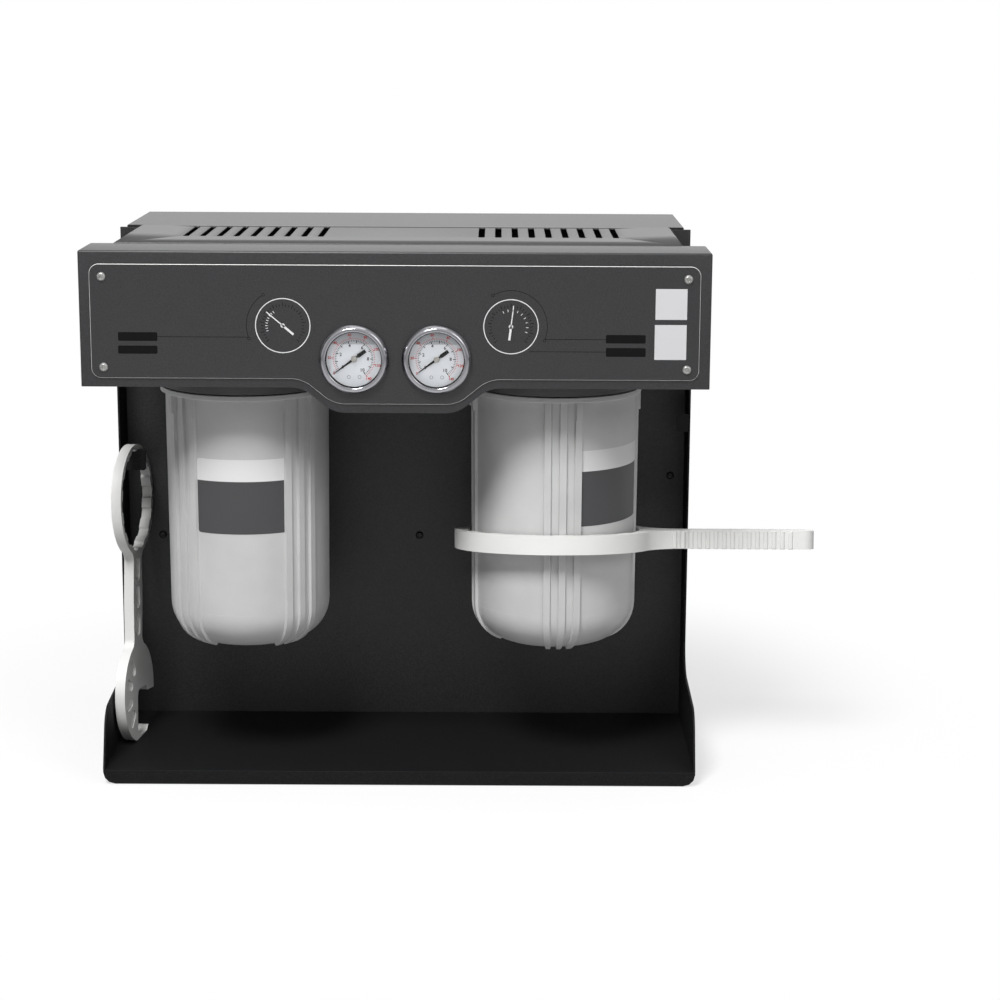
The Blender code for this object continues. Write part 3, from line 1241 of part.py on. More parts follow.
join(pump_head, moved(inlet, (PUMP_MIDDLE, 0, 0)), outlet)

# Feed manifold from the pump's outlet up and over to both vessel caps
feed_level = port_top + GAP + PIPE_BEND
pump_mouth = VESSEL_DEPTH - PUMP_RADIUS - PUMP_PORT_HEIGHT - GAP
feed_manifold = tube("feed_manifold", (
    (PUMP_MIDDLE, pump_mouth, MOTOR_HEIGHT),
    (PUMP_MIDDLE, hose_lane, MOTOR_HEIGHT),
    (PUMP_MIDDLE, hose_lane, feed_level),
    (VESSEL_ACROSS[1], hose_lane, feed_level),
    (VESSEL_ACROSS[1], VESSEL_DEPTH, feed_level),
    (VESSEL_ACROSS[0], VESSEL_DEPTH, feed_level),
    (VESSEL_ACROSS[0], VESSEL_DEPTH, port_top + GAP),
), HOSE_RADIUS, HOSE_BEND, pipe_white)
join(feed_manifold, rod(
    HOSE_RADIUS, port_top + GAP, feed_level, COARSE, (VESSEL_ACROSS[1], VESSEL_DEPTH)
))

# Control box on the back panel, and the inlet valve behind its port
add("control_box", plate(rounded((
    (CONTROL_AT - CONTROL_WIDTH / 2, CONTROL_BOTTOM, CONTROL_CORNER),
    (CONTROL_AT - CONTROL_WIDTH / 2, CONTROL_BOTTOM + CONTROL_HEIGHT, CONTROL_CORNER),
    (CONTROL_AT + CONTROL_WIDTH / 2, CONTROL_BOTTOM + CONTROL_HEIGHT, CONTROL_CORNER),
    (CONTROL_AT + CONTROL_WIDTH / 2, CONTROL_BOTTOM, CONTROL_CORNER),
)), REAR_FRONT, REAR_FRONT + CONTROL_DEPTH, "Y"), box_grey)
solenoid_valve = add("solenoid_valve", block(
    (PORT_ROW[0] - VALVE_WIDTH / 2, PORT_ROW[0] + VALVE_WIDTH / 2),
    (valve_front, valve_front + VALVE_LENGTH),
    (PORT_ROW_HEIGHT - VALVE_HEIGHT / 2, PORT_ROW_HEIGHT + VALVE_HEIGHT / 2),
), head_black)
join(solenoid_valve, rod(
    COIL_RADIUS, PORT_ROW_HEIGHT, PORT_ROW_HEIGHT + VALVE_HEIGHT / 2 + COIL_HEIGHT, COARSE,
    (PORT_ROW[0], valve_front + VALVE_LENGTH / 2),
))


# Bulkhead fittings and the cable gland through the rear door
def fitting(name, across, radius, flange, flange_length, bore, outward, inward, surface):
    """A round union with its flange on the outside of the door and its axis along Y."""
    union = turned((
        (bore, -SHEET - inward),
        (radius, -SHEET - inward),
        (radius, GAP),
        (flange, GAP),
        (flange, GAP + flange_length),
        (radius, GAP + flange_length),
        (radius, outward),
        (bore, outward),
    ), COARSE)
    add(name, along_y(union), surface, (across, REAR_BACK, PORT_ROW_HEIGHT))


for name, across in zip(("inlet_port", "permeate_port", "drain_port"), PORT_ROW):
    fitting(
        name, across, FITTING_RADIUS, FITTING_FLANGE_RADIUS, FITTING_FLANGE, FITTING_BORE,
        FITTING_OUT, FITTING_IN, brass,
    )
fitting(
    "cable_gland", GLAND_ACROSS, GLAND_RADIUS, GLAND_NUT_RADIUS, GLAND_NUT_LENGTH, GLAND_BORE,
    GLAND_NUT_LENGTH + FITTING_FLANGE, FITTING_FLANGE, head_black,
)
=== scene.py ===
"""The reverse osmosis unit dressed for its picture: steel cabinet, prefilters, gauges and wrenches."""

import json
from math import asin, cos, pi, radians, sin, tan

import bmesh
import bpy
from mathutils import Euler, Matrix, Vector


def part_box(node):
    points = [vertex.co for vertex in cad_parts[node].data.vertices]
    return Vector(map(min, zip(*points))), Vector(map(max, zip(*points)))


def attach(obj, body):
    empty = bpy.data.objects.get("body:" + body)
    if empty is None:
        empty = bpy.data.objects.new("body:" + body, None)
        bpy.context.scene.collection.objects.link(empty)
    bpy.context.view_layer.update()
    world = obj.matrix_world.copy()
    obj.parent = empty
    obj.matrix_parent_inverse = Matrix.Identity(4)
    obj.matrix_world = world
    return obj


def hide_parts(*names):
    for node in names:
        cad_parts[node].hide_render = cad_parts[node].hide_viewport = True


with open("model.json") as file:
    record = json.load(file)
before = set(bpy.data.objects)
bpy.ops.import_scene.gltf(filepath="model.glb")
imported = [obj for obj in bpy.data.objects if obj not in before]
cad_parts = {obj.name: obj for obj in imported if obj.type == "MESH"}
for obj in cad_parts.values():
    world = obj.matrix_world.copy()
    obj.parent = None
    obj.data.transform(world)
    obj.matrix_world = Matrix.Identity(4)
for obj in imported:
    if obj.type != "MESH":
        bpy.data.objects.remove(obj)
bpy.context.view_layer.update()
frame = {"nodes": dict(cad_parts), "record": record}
nodes = frame["nodes"]

# Camera
# It stands a little right of the middle and looks slightly down. Its place and turn were solved from the
# straight edges of the cabinet in the photograph, and its lens from their convergence.
CAMERA_PLACE = (0.10302, -2.71906, 0.82512)
CAMERA_PITCH = radians(11.928)
CAMERA_YAW = radians(0.0975)
CAMERA_ROLL = radians(-0.310)
CAMERA_LENS = 84.38
SENSOR = 36.0

lens = bpy.data.cameras.new("front_camera")
lens.lens = CAMERA_LENS
lens.sensor_width = SENSOR
camera = bpy.data.objects.new("front_camera", lens)
camera.matrix_world = (
    Matrix.Translation(CAMERA_PLACE) @ Matrix.Rotation(-CAMERA_YAW, 4, "Z")
    @ Matrix.Rotation(radians(90) - CAMERA_PITCH, 4, "X") @ Matrix.Rotation(-CAMERA_ROLL, 4, "Z")
)
bpy.context.scene.collection.objects.link(camera)
bpy.context.scene.camera = camera

# Studio
# A white room: a matt floor that keeps the shadow, two soft lamps in front, one above and one behind. World
# and floor are white to the camera, and throw less light on the object so that its black bay stays black.
FLOOR_WHITE = "#F6F6F6"
FLOOR_SIZE = 12.0
FLOOR_DROP = 0.0006
FLOOR_MIDDLE = (0.0, -0.1, 0.0)
FADE_START = 0.38
FADE_END = 0.75
FADE_NEAR = 0.65
FLOOR_BOUNCE = 0.4
WORLD_LIGHT = 0.13

bpy.context.scene.view_settings.view_transform = "Standard"


def colour(code):
    """An sRGB hex value as a linear colour with alpha."""
    channels = [int(code[start:start + 2], 16) / 255 for start in (1, 3, 5)]
    linear = [c / 12.92 if c <= 0.04045 else ((c + 0.055) / 1.055) ** 2.4 for c in channels]
    return (*linear, 1.0)


def node(tree, kind, inputs=(), **settings):
    """One shader node with its settings. Inputs are (socket, value or output socket) pairs."""
    made = tree.nodes.new(kind)
    for name, value in settings.items():
        setattr(made, name, value)
    for socket, value in inputs:
        if isinstance(value, bpy.types.NodeSocket):
            tree.links.new(value, made.inputs[socket])
        else:
            made.inputs[socket].default_value = value
    return made


def mapped(tree, value, low, high, start=0.0, end=1.0, **settings):
    """A value moved from the range start to end onto the range low to high."""
    return node(tree, "ShaderNodeMapRange", [
        ("Value", value), ("From Min", start), ("From Max", end), ("To Min", low), ("To Max", high),
    ], **settings).outputs[0]


def tint(tree, shader, base, share):
    """Multiply a shader's base colour by a value."""
    tone = node(tree, "ShaderNodeMix", [
        ("Factor", 1.0), (6, colour(base)), (7, share),
    ], data_type="RGBA", blend_type="MULTIPLY")
    tree.links.new(tone.outputs[2], shader.inputs["Base Color"])


def surface(name, base, roughness, metallic=0.0, **sockets):
    """A named material with its principled shader: (material, node tree, shader)."""
    material = bpy.data.materials.new(name)
    material.use_nodes = True
    shader = material.node_tree.nodes["Principled BSDF"]
    values = {"Base Color": colour(base), "Roughness": roughness, "Metallic": metallic, **sockets}
    for socket, value in values.items():
        shader.inputs[socket.replace("_", " ")].default_value = value
    return material, material.node_tree, shader


def solid(name, bm, material):
    """An object of a finished bmesh, in the scene."""
    mesh = bpy.data.meshes.new(name)
    bm.to_mesh(mesh)
    bm.free()
    mesh.materials.append(material)
    made = bpy.data.objects.new(name, mesh)
    bpy.context.scene.collection.objects.link(made)
    return made


world = bpy.data.worlds.new("white_room")
world.use_nodes = True
bpy.context.scene.world = world
sky = world.node_tree
path = node(sky, "ShaderNodeLightPath")
seen = path.outputs["Is Camera Ray"]
for kind in ("Is Glossy Ray", "Is Transmission Ray"):
    seen = node(sky, "ShaderNodeMath", [(0, seen), (1, path.outputs[kind])], operation="MAXIMUM").outputs[0]
background = sky.nodes["Background"]
background.inputs["Color"].default_value = colour("#FFFFFF")
sky.links.new(mapped(sky, seen, WORLD_LIGHT, 1.0), background.inputs["Strength"])

floor_mesh = bmesh.new()
bmesh.ops.create_grid(floor_mesh, x_segments=1, y_segments=1, size=FLOOR_SIZE / 2)
floor_coat, floor_tree, floor_shader = surface("matt_white_floor", FLOOR_WHITE, 0.9)
floor_spot = node(floor_tree, "ShaderNodeTexCoord")
away = node(floor_tree, "ShaderNodeVectorMath", [
    (0, floor_spot.outputs["Object"]), (1, FLOOR_MIDDLE),
], operation="DISTANCE")
far = mapped(
    floor_tree, away.outputs["Value"], FADE_NEAR, 1.0, FADE_START, FADE_END, interpolation_type="SMOOTHSTEP"
)
ray = node(floor_tree, "ShaderNodeLightPath")
bounced = mapped(floor_tree, ray.outputs["Is Diffuse Ray"], 1.0, FLOOR_BOUNCE)
tint(floor_tree, floor_shader, FLOOR_WHITE, bounced)
faded = node(floor_tree, "ShaderNodeMath", [
    (0, far), (1, ray.outputs["Is Camera Ray"]),
], operation="MULTIPLY")
room_white = node(floor_tree, "ShaderNodeEmission", [("Color", colour("#FFFFFF"))])
floor_mix = node(floor_tree, "ShaderNodeMixShader", [
    (0, faded.outputs[0]), (1, floor_shader.outputs[0]), (2, room_white.outputs[0]),
])
floor_tree.links.new(floor_mix.outputs[0], floor_tree.nodes["Material Output"].inputs["Surface"])
floor = solid("floor", floor_mesh, floor_coat)
floor.location.z = -FLOOR_DROP

for name, place, aim, size, power in (
    ("front_left_lamp", (-0.6, -2.05, 2.8), (0, -0.2, 0.3), 0.9, 112),
    ("front_right_lamp", (1.9, -2.3, 2.0), (0.1, -0.2, 0.3), 1.3, 20),
    ("top_lamp", (0.2, 0.3, 2.4), (0, -0.1, 0.4), 1.5, 8),
    ("rear_lamp", (0.1, 3.2, 1.5), (0, 0, 0.55), 2.4, 9),
):
    light = bpy.data.lights.new(name, "AREA")
    light.size = size
    light.energy = power
    lamp = bpy.data.objects.new(name, light)
    lamp.location = place
    lamp.rotation_euler = (Vector(place) - Vector(aim)).to_track_quat("Z", "Y").to_euler()
    bpy.context.scene.collection.objects.link(lamp)

# Folded sheet steel
# The rear casing, back panel and head bracket are folded from sheet, in the frame's own shape, and powder
# coated, graphite grey outside and black in the bay. The coat has a fine grit and a dull sheen.
MERGE = 0.00001
FOLD = 0.0022
GRAIN = 0.0014
GRIT_TONES = (0.45, 1.65)
GRIT_SPREAD = (0.35, 0.65)
node_body = {part: name for name, parts in frame["record"]["behaviour"]["bodies"].items() for part in parts}


def noise(tree, size, detail, roughness=0.5):
    """Noise of a size in metres on the object's own coordinates."""
    spot = node(tree, "ShaderNodeTexCoord")
    return node(tree, "ShaderNodeTexNoise", [
        ("Vector", spot.outputs["Object"]), ("Scale", 1 / size), ("Detail", detail), ("Roughness", roughness),
    ]).outputs[0]


def roughen(tree, shader, height, strength, depth):
    """Bump a shader's surface."""
    bump = node(tree, "ShaderNodeBump", [("Height", height), ("Strength", strength), ("Distance", depth)])
    tree.links.new(bump.outputs[0], shader.inputs["Normal"])


def powder_coat(name, base, roughness, bump, sheen=0.5):
    """Fine-texture powder coat. The real grit is about 0.3 mm and is drawn coarser so that it shows."""
    material, tree, shader = surface(name, base, roughness, Specular_IOR_Level=sheen)
    grit = noise(tree, GRAIN, 3.0, 0.65)
    roughen(tree, shader, grit, bump, GRAIN / 3)
    tint(tree, shader, base, mapped(tree, grit, *GRIT_TONES, *GRIT_SPREAD))
    return material


hood_coat = powder_coat("graphite_powder_coat", "#19191B", 0.42, 0.25)
bay_coat = powder_coat("black_powder_coat", "#131314", 0.6, 0.3, 0.12)
panel_coat = powder_coat("satin_black_panel_coat", "#1A1A1B", 0.5, 0.3, 0.4)


def weld(bm):
    """Join the vertices that lie on each other."""
    bmesh.ops.remove_doubles(bm, verts=bm.verts, dist=MERGE)


def piece(name, bm, material, like, replace=True, smooth=35):
    """Finish a bmesh as a piece that rides with a CAD node, and takes its place if it replaces it."""
    weld(bm)
    made = solid(name, bm, material)
    made.data.shade_smooth()
    made.data.set_sharp_from_angle(angle=radians(smooth))
    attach(made, node_body[like])
    if replace:
        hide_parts(like)
    return made


def soften(made, width, segments=2):
    """Round off the sharp edges of a piece with a small bevel."""
    bevel = made.modifiers.new("soft_edges", "BEVEL")
    bevel.width = width
    bevel.segments = segments
    bevel.limit_method = "ANGLE"
    bevel.angle_limit = radians(40)
    bevel.harden_normals = True
    return made


def from_frame(name, material, width=FOLD / 2, segments=2):
    """A node's own shape with its triangles joined up and its edges rounded off."""
    bm = bmesh.new()
    bm.from_mesh(nodes[name].data)
    weld(bm)
    bmesh.ops.dissolve_limit(bm, angle_limit=radians(1), verts=bm.verts, edges=bm.edges)
    bmesh.ops.triangulate(bm, faces=[face for face in bm.faces if len(face.verts) > 4])
    return soften(piece(f"{name}_shell", bm, material, name), width, segments)


from_frame("rear_casing", hood_coat)
for name in ("back_panel", "head_bracket"):
    from_frame(name, panel_coat, FOLD / 4)

# Hood front box
# A folded box over the front of the filter heads, open below and behind. Its front face runs down into a
# lobe that carries the two gauges, and every fold has the small outer radius of a press brake.
SHEET = 0.002
HOOD_EDGE = 0.0003
LOBE_DROP = 0.0258
LOBE_FOOT = 0.063
LOBE_SHOULDER = 0.095
LOBE_ROUND = 0.034
GAUGE_AT = 0.042
GAUGE_HEIGHT = 0.4725
GAUGE_HOLE = 0.0319
STAND = Matrix.Rotation(radians(90), 4, "X")


def only(kind, geom):
    """The vertices or the edges among what an operator gives back."""
    return [item for item in geom if isinstance(item, kind)]


def trace(bm, corners, closed=True, step=radians(5)):
    """Draw an outline in the XY plane through (x, y, radius) corners, with an arc where there is a radius."""
    points = [Vector((x, y, 0)) for x, y, radius in corners]
    first = last = None
    for index, (x, y, radius) in enumerate(corners):
        here = points[index]
        start = bm.verts.new(here)
        end = start
        if radius:
            before = (here - points[index - 1]).normalized()
            after = (points[(index + 1) % len(points)] - here).normalized()
            bend = before.angle(after)
            way = 1 if before.cross(after).z > 0 else -1
            start.co = here - before * radius * tan(bend / 2)
            centre = start.co + Vector((-before.y, before.x, 0)) * way * radius
            arc = bmesh.ops.spin(
                bm, geom=[start], cent=centre, axis=(0, 0, 1), angle=way * bend,
                steps=max(2, round(bend / step)),
            )
            end = only(bmesh.types.BMVert, arc["geom_last"])[0]
        if last:
            bm.edges.new((last, start))
        first = first or start
        last = end
    if closed:
        bm.edges.new((last, first))
    weld(bm)


def round_hole(bm, x, y, radius, segments=72):
    """Draw a round hole in an outline."""
    bmesh.ops.create_circle(bm, segments=segments, radius=radius, matrix=Matrix.Translation((x, y, 0)))


def fill(bm):
    """Fill a drawn outline with its holes."""
    bmesh.ops.triangle_fill(bm, use_beauty=True, edges=bm.edges[:], normal=(0, 0, 1))


def move(bm, x=0.0, y=0.0, z=0.0, turn=Matrix(), verts=None):
    """Turn a bmesh, or some of its vertices, and move it by a distance."""
    bmesh.ops.transform(bm, matrix=Matrix.Translation((x, y, z)) @ turn, verts=verts or bm.verts)


def raise_up(bm, height):
    """Give flat faces a height."""
    grown = bmesh.ops.extrude_face_region(bm, geom=bm.faces[:])["geom"]
    move(bm, z=height, verts=only(bmesh.types.BMVert, grown))
    bmesh.ops.recalc_face_normals(bm, faces=bm.faces)


def thicken(bm, low, high):
    """Make a drawn outline into a plate between two levels."""
    fill(bm)
    move(bm, z=low)
    raise_up(bm, high - low)


def stand(bm, x=0.0, y=0.0, z=0.0):
    """Stand a flat drawing up to face the front, and move it to its place."""
    move(bm, x, y, z, STAND)


def sharp_edges(bm):
    """The edges where two faces meet at a sharp angle."""
    return [edge for edge in bm.edges if len(edge.link_faces) == 2 and edge.calc_face_angle() > radians(60)]


def sheet_wall(made, thickness=SHEET):
    """Give an open shell its wall, inwards from the faces that show."""
    wall = made.modifiers.new("sheet", "SOLIDIFY")
    wall.thickness = thickness
    wall.offset = -1
    wall.use_even_offset = True
    return made


def hood_outline(bm, half, top, shoulder, foot, corner):
    """The hood's front with its lobe, drawn flat, with the two gauge holes."""
    trace(bm, (
        (-half, top, corner), (-half, shoulder, corner),
        (-LOBE_SHOULDER, shoulder, LOBE_ROUND), (-LOBE_FOOT, foot, LOBE_ROUND),
        (LOBE_FOOT, foot, LOBE_ROUND), (LOBE_SHOULDER, shoulder, LOBE_ROUND),
        (half, shoulder, corner), (half, top, corner),
    ))
    for across in (-GAUGE_AT, GAUGE_AT):
        round_hole(bm, across, GAUGE_HEIGHT, GAUGE_HOLE)


hood_low, hood_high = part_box("hood_front_box")
box = bmesh.new()
hood_outline(box, hood_high.x, hood_high.z, hood_low.z + LOBE_DROP, hood_low.z, 0)
thicken(box, -hood_high.y, -hood_low.y)
stand(box)
unwanted = []
for face in box.faces:
    at = face.calc_center_median()
    inside = at.y > hood_low.y + MERGE and abs(at.x) < hood_high.x - MERGE and at.z < hood_high.z - MERGE
    if face.normal.y > 0.9 or face.normal.z < -0.1 or inside:
        unwanted.append(face)
bmesh.ops.delete(box, geom=unwanted, context="FACES")
bmesh.ops.bevel(
    box, geom=sharp_edges(box), offset=FOLD, segments=4, profile=0.5, affect="EDGES", material=-1,
    clamp_overlap=True,
)
hood_box = sheet_wall(piece("hood_front_shell", box, hood_coat, "hood_front_box", smooth=50))
soften(hood_box, HOOD_EDGE, 1)

# Fascia plate
# A 2 mm anodised and printed plate on the front of the hood, held by four screws. Its cut edge is bare
# metal, and its near-white colour is partly a painted highlight for the glint along the edge, so a thin
# bright line runs round it.
SIDE_MARGIN = 0.0115
TOP_MARGIN = 0.0133
LOW_MARGIN = 0.0093
FASCIA_CORNER = 0.010
FASCIA_EDGE = 0.0005

fascia_low, fascia_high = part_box("fascia_plate")
fascia_coat = powder_coat("printed_fascia_film", "#19191B", 0.42, 0.3)
bare_edge_highlight = surface("bare_cut_edge_and_highlight", "#D8D8D6", 0.45, 0.3)[0]
plate = bmesh.new()
hood_outline(
    plate, hood_high.x - SIDE_MARGIN, hood_high.z - TOP_MARGIN,
    hood_low.z + LOBE_DROP + LOW_MARGIN, hood_low.z + LOW_MARGIN, FASCIA_CORNER,
)
thicken(plate, -fascia_high.y, -fascia_low.y)
rim = [
    edge for edge in sharp_edges(plate)
    if all(vert.co.z > -fascia_low.y - MERGE for vert in edge.verts)
]
bmesh.ops.bevel(plate, geom=rim, offset=FASCIA_EDGE, segments=1, profile=0.5, affect="EDGES", material=1)
stand(plate)
fascia = piece("fascia_panel", plate, fascia_coat, "fascia_plate")
fascia.data.materials.append(bare_edge_highlight)

# Fascia print
# Screen print on the plate, a few hundredths of a millimetre proud: a printed dial beside each gauge with
# leader lines to dark tablets, and two pale squares. The wording, names and code on them are left out.
PRINT = 0.00008
PRINT_SINK = 0.00002
DIAL_PRINT_RADIUS = 0.028
DIAL_PRINT_LINE = 0.0009
DIAL_PRINTS = (
    (-0.1137, 0.5065, radians(140), radians(124), radians(199)),
    (0.1172, 0.5065, radians(83), radians(-20), radians(118)),
)
TABLET_ROUND = 0.0012
TABLETS = (
    (-0.2806, 0.4902, -0.2408, 0.4991), (-0.2808, 0.4771, -0.2410, 0.4854),
    (0.2134, 0.4901, 0.2537, 0.4987), (0.2136, 0.4764, 0.2539, 0.4854),
)
SQUARES = ((0.2632, 0.5144, 0.2951, 0.5456), (0.2628, 0.4735, 0.2950, 0.5091))
LEADER = 0.0005
LEADERS = (
    (-0.2408, 0.4946, -0.1485, 0.4946), (0.1523, 0.4938, 0.2134, 0.4938), (0.1365, 0.4812, 0.2136, 0.4812),
)
ARC_RADIUS = 0.0368
ARC_DOT = 0.0014
DIAL_NEEDLE = 0.0215
DIAL_NEEDLE_WIDTH = 0.0011
DIAL_TAIL = 0.0140
DIAL_HUB = 0.0022
INNER_SCALE = 0.0152
OUTER_SCALE = 0.0196
MARK_LENGTH = 0.0024
MARK_WIDTH = 0.0006
LONG_MARK = 1.6
SHORT_MARK = 0.9
NORMAL_MARKS = 8
DIAL_MARKS = 30
SCALE_START = radians(225)
SCALE_SPAN = radians(270)

white_print = surface("white_screen_print", "#DADADA", 0.5, Specular_IOR_Level=0.2)[0]
dark_print = surface("black_screen_print", "#060606", 0.5, Specular_IOR_Level=0.1)[0]
square_print = surface("pale_screen_print", "#C9C9CB", 0.5)[0]


def rectangle(bm, left, foot, right, top, corner=0.0, step=radians(5), top_corner=None):
    """Draw a rectangle, with round corners where they have a radius."""
    upper = corner if top_corner is None else top_corner
    trace(bm, (
        (left, foot, corner), (right, foot, corner), (right, top, upper), (left, top, upper)
    ), step=step)


def merged(*shells):
    """Put several closed shells into one bmesh."""
    whole = shells[0]
    for shell in shells[1:]:
        mesh = bpy.data.meshes.new("shell")
        shell.to_mesh(mesh)
        shell.free()
        whole.from_mesh(mesh)
        bpy.data.meshes.remove(mesh)
    return whole


def polar(radius, turn):
    """A point at a radius and an angle."""
    return radius * cos(turn), radius * sin(turn)


def ink(bm):
    """Give one drawn shape the thickness of its ink."""
    if not bm.faces:
        fill(bm)
    weld(bm)
    raise_up(bm, PRINT + PRINT_SINK)
    return bm


def stripe(start, end, width, middle=(0, 0)):
    """An inked straight stripe between two points."""
    first, last = Vector((*start, 0)), Vector((*end, 0))
    side = (last - first).normalized().cross(Vector((0, 0, 1))) * width / 2
    corners = (first - side, first + side, last + side, last - side)
    bm = bmesh.new()
    trace(bm, [(corner.x + middle[0], corner.y + middle[1], 0) for corner in corners])
    return ink(bm)


def curve(radius, start, end, width, middle, steps=40):
    """An inked curved stripe about a point."""
    bm = bmesh.new()
    ends = [bm.verts.new((*polar(radius + way * width / 2, start), 0)) for way in (-1, 1)]
    line = bm.edges.new(ends)
    bmesh.ops.spin(bm, geom=[*ends, line], cent=(0, 0, 0), axis=(0, 0, 1), angle=end - start, steps=steps)
    move(bm, *middle)
    return ink(bm)


def tablet(*edges, corner=0.0):
    """An inked rectangle."""
    bm = bmesh.new()
    rectangle(bm, *edges, corner, radians(30))
    return ink(bm)


white = []
black = [tablet(*edges, corner=TABLET_ROUND) for edges in TABLETS]
for *start, end_x, end_z in LEADERS:
    black.append(stripe(start, (end_x, end_z), LEADER))
for x, z, needle_turn, scale_start, scale_end in DIAL_PRINTS:
    middle = (x, z)
    white += [
        curve(DIAL_PRINT_RADIUS - DIAL_PRINT_LINE / 2, 0, 2 * pi, DIAL_PRINT_LINE, middle, 96),
        stripe(polar(DIAL_NEEDLE, needle_turn), (0, 0), DIAL_NEEDLE_WIDTH, middle),
        stripe((0, 0), polar(-DIAL_TAIL, needle_turn), 2 * DIAL_NEEDLE_WIDTH, middle),
        curve(DIAL_HUB / 2, 0, 2 * pi, DIAL_HUB, middle, 24),
    ]
    for step in range(NORMAL_MARKS + 1):
        turn = scale_start + (scale_end - scale_start) * step / NORMAL_MARKS
        ends = polar(INNER_SCALE, turn), polar(INNER_SCALE + MARK_LENGTH, turn)
        white.append(stripe(*ends, MARK_WIDTH, middle))
    for step in range(DIAL_MARKS + 1):
        turn = SCALE_START - SCALE_SPAN * step / DIAL_MARKS
        reach = OUTER_SCALE + MARK_LENGTH * (SHORT_MARK if step % 3 else LONG_MARK)
        black.append(stripe(polar(OUTER_SCALE, turn), polar(reach, turn), MARK_WIDTH, middle))
    black.append(curve(ARC_RADIUS, scale_start, scale_end, LEADER, middle))
    for turn, way in ((scale_start, -1), (scale_end, 1)):
        dot = polar(ARC_RADIUS, turn + way * ARC_DOT / ARC_RADIUS)
        black.append(curve(ARC_DOT, 0, 2 * pi, LEADER, (x + dot[0], z + dot[1]), 20))
for name, shapes, material, slot in (
    ("fascia_white_print", white, white_print, "dial_white"),
    ("fascia_black_print", black, dark_print, "needle_black"),
    ("fascia_pale_squares", [tablet(*edges) for edges in SQUARES], square_print, "dial_white"),
):
    bm = merged(*shapes)
    stand(bm, 0, fascia_low.y + PRINT_SINK)
    piece(name, bm, material, "fascia_plate", replace=False)

# Hood cover
# A lid folded down at both sides over the filter heads, with two groups of round-ended vent slots in its
# top. It is coated like the hood box that it tucks in behind.
VENT_AT = 0.158
VENT_COUNT = 9
VENT_PITCH = 0.018
VENT_WIDTH = 0.007
VENT_LENGTH = 0.110
VENT_SETBACK = 0.0713
VENT_ROUND = 0.0033
LID_FOLD = 0.004
LID_STRIP = 0.001

low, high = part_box("hood_cover")
lid = bmesh.new()
edge = high.x - LID_FOLD - LID_STRIP
rectangle(lid, -edge, low.y, edge, high.y)
for middle in (-VENT_AT, VENT_AT):
    for slot in range(VENT_COUNT):
        left = middle + (slot - (VENT_COUNT - 1) / 2) * VENT_PITCH - VENT_WIDTH / 2
        near = low.y + VENT_SETBACK
        rectangle(lid, left, near, left + VENT_WIDTH, near + VENT_LENGTH, VENT_ROUND)
fill(lid)
move(lid, z=high.z)
for way in (-1, 1):
    side = [
        item for item in lid.edges
        if all(abs(vert.co.x - way * edge) < MERGE for vert in item.verts)
    ]
    strip = bmesh.ops.extrude_edge_only(lid, edges=side)["geom"]
    rim = only(bmesh.types.BMVert, strip)
    move(lid, way * LID_STRIP, verts=rim)
    outer = [item for item in only(bmesh.types.BMEdge, strip) if set(item.verts) <= set(rim)]
    turned_down = bmesh.ops.spin(
        lid, geom=rim + outer, cent=(way * (edge + LID_STRIP), 0, high.z - LID_FOLD),
        axis=(0, way, 0), angle=radians(90), steps=5,
    )["geom_last"]
    grown = bmesh.ops.extrude_edge_only(lid, edges=only(bmesh.types.BMEdge, turned_down))["geom"]
    move(lid, z=low.z - high.z + LID_FOLD, verts=only(bmesh.types.BMVert, grown))
bmesh.ops.recalc_face_normals(lid, faces=lid.faces)
if max(lid.faces, key=lambda face: face.calc_center_median().z).normal.z < 0:
    bmesh.ops.reverse_faces(lid, faces=lid.faces)
sheet_wall(piece("hood_cover_lid", lid, hood_coat, "hood_cover"))

# Base tray and cheeks
# The tray is folded down all round with its sides rolled under. The cheeks are flanges of the back that
# run out along its edges in a rounded toe, and each has a small tab bent inwards for hanging a wrench.
TRAY_EDGE = 0.0009
CHEEK_EDGE = 0.0005
TOE_DEPTH = 0.076
TOE_HEIGHT = 0.077
TOE_ROUND = 0.030
KNEE_HEIGHT = 0.0845
KNEE_ROUND = 0.035
CHEEK_DEPTH = 0.0526
TAB_CORNER = 0.003
TABS = {"left": (0.336, 0.030, 0.0235), "right": (0.3795, 0.016, 0.020)}
ACROSS = Matrix(((0, 0, 1, 0), (1, 0, 0, 0), (0, 1, 0, 0), (0, 0, 0, 1)))

from_frame("base_tray", bay_coat, TRAY_EDGE, 3)
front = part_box("base_tray")[0].y
for side, sign in (("left", -1), ("right", 1)):
    low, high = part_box(f"{side}_cheek")
    cheek_front = high.y - CHEEK_DEPTH
    outside = sign * max(abs(low.x), abs(high.x))
    flange = bmesh.new()
    trace(flange, (
        (front, low.z, 0), (hood_low.y + TOE_DEPTH, TOE_HEIGHT, TOE_ROUND),
        (cheek_front, KNEE_HEIGHT, KNEE_ROUND), (cheek_front, high.z, 0),
        (high.y, high.z, 0), (high.y, low.z, 0),
    ), step=radians(3))
    thicken(flange, min(outside, outside - sign * SHEET), max(outside, outside - sign * SHEET))
    move(flange, turn=ACROSS)
    top, reach, height = TABS[side]
    root = outside - sign * SHEET / 2
    tip = outside - sign * reach
    tab = bmesh.new()
    trace(tab, (
        (root, top - height, 0), (root, top, 0), (tip, top, TAB_CORNER), (tip, top - height, TAB_CORNER),
    ))
    thicken(tab, -cheek_front - SHEET, -cheek_front)
    stand(tab)
    soften(piece(f"{side}_cheek_flange", merged(flange, tab), bay_coat, f"{side}_cheek"), CHEEK_EDGE)

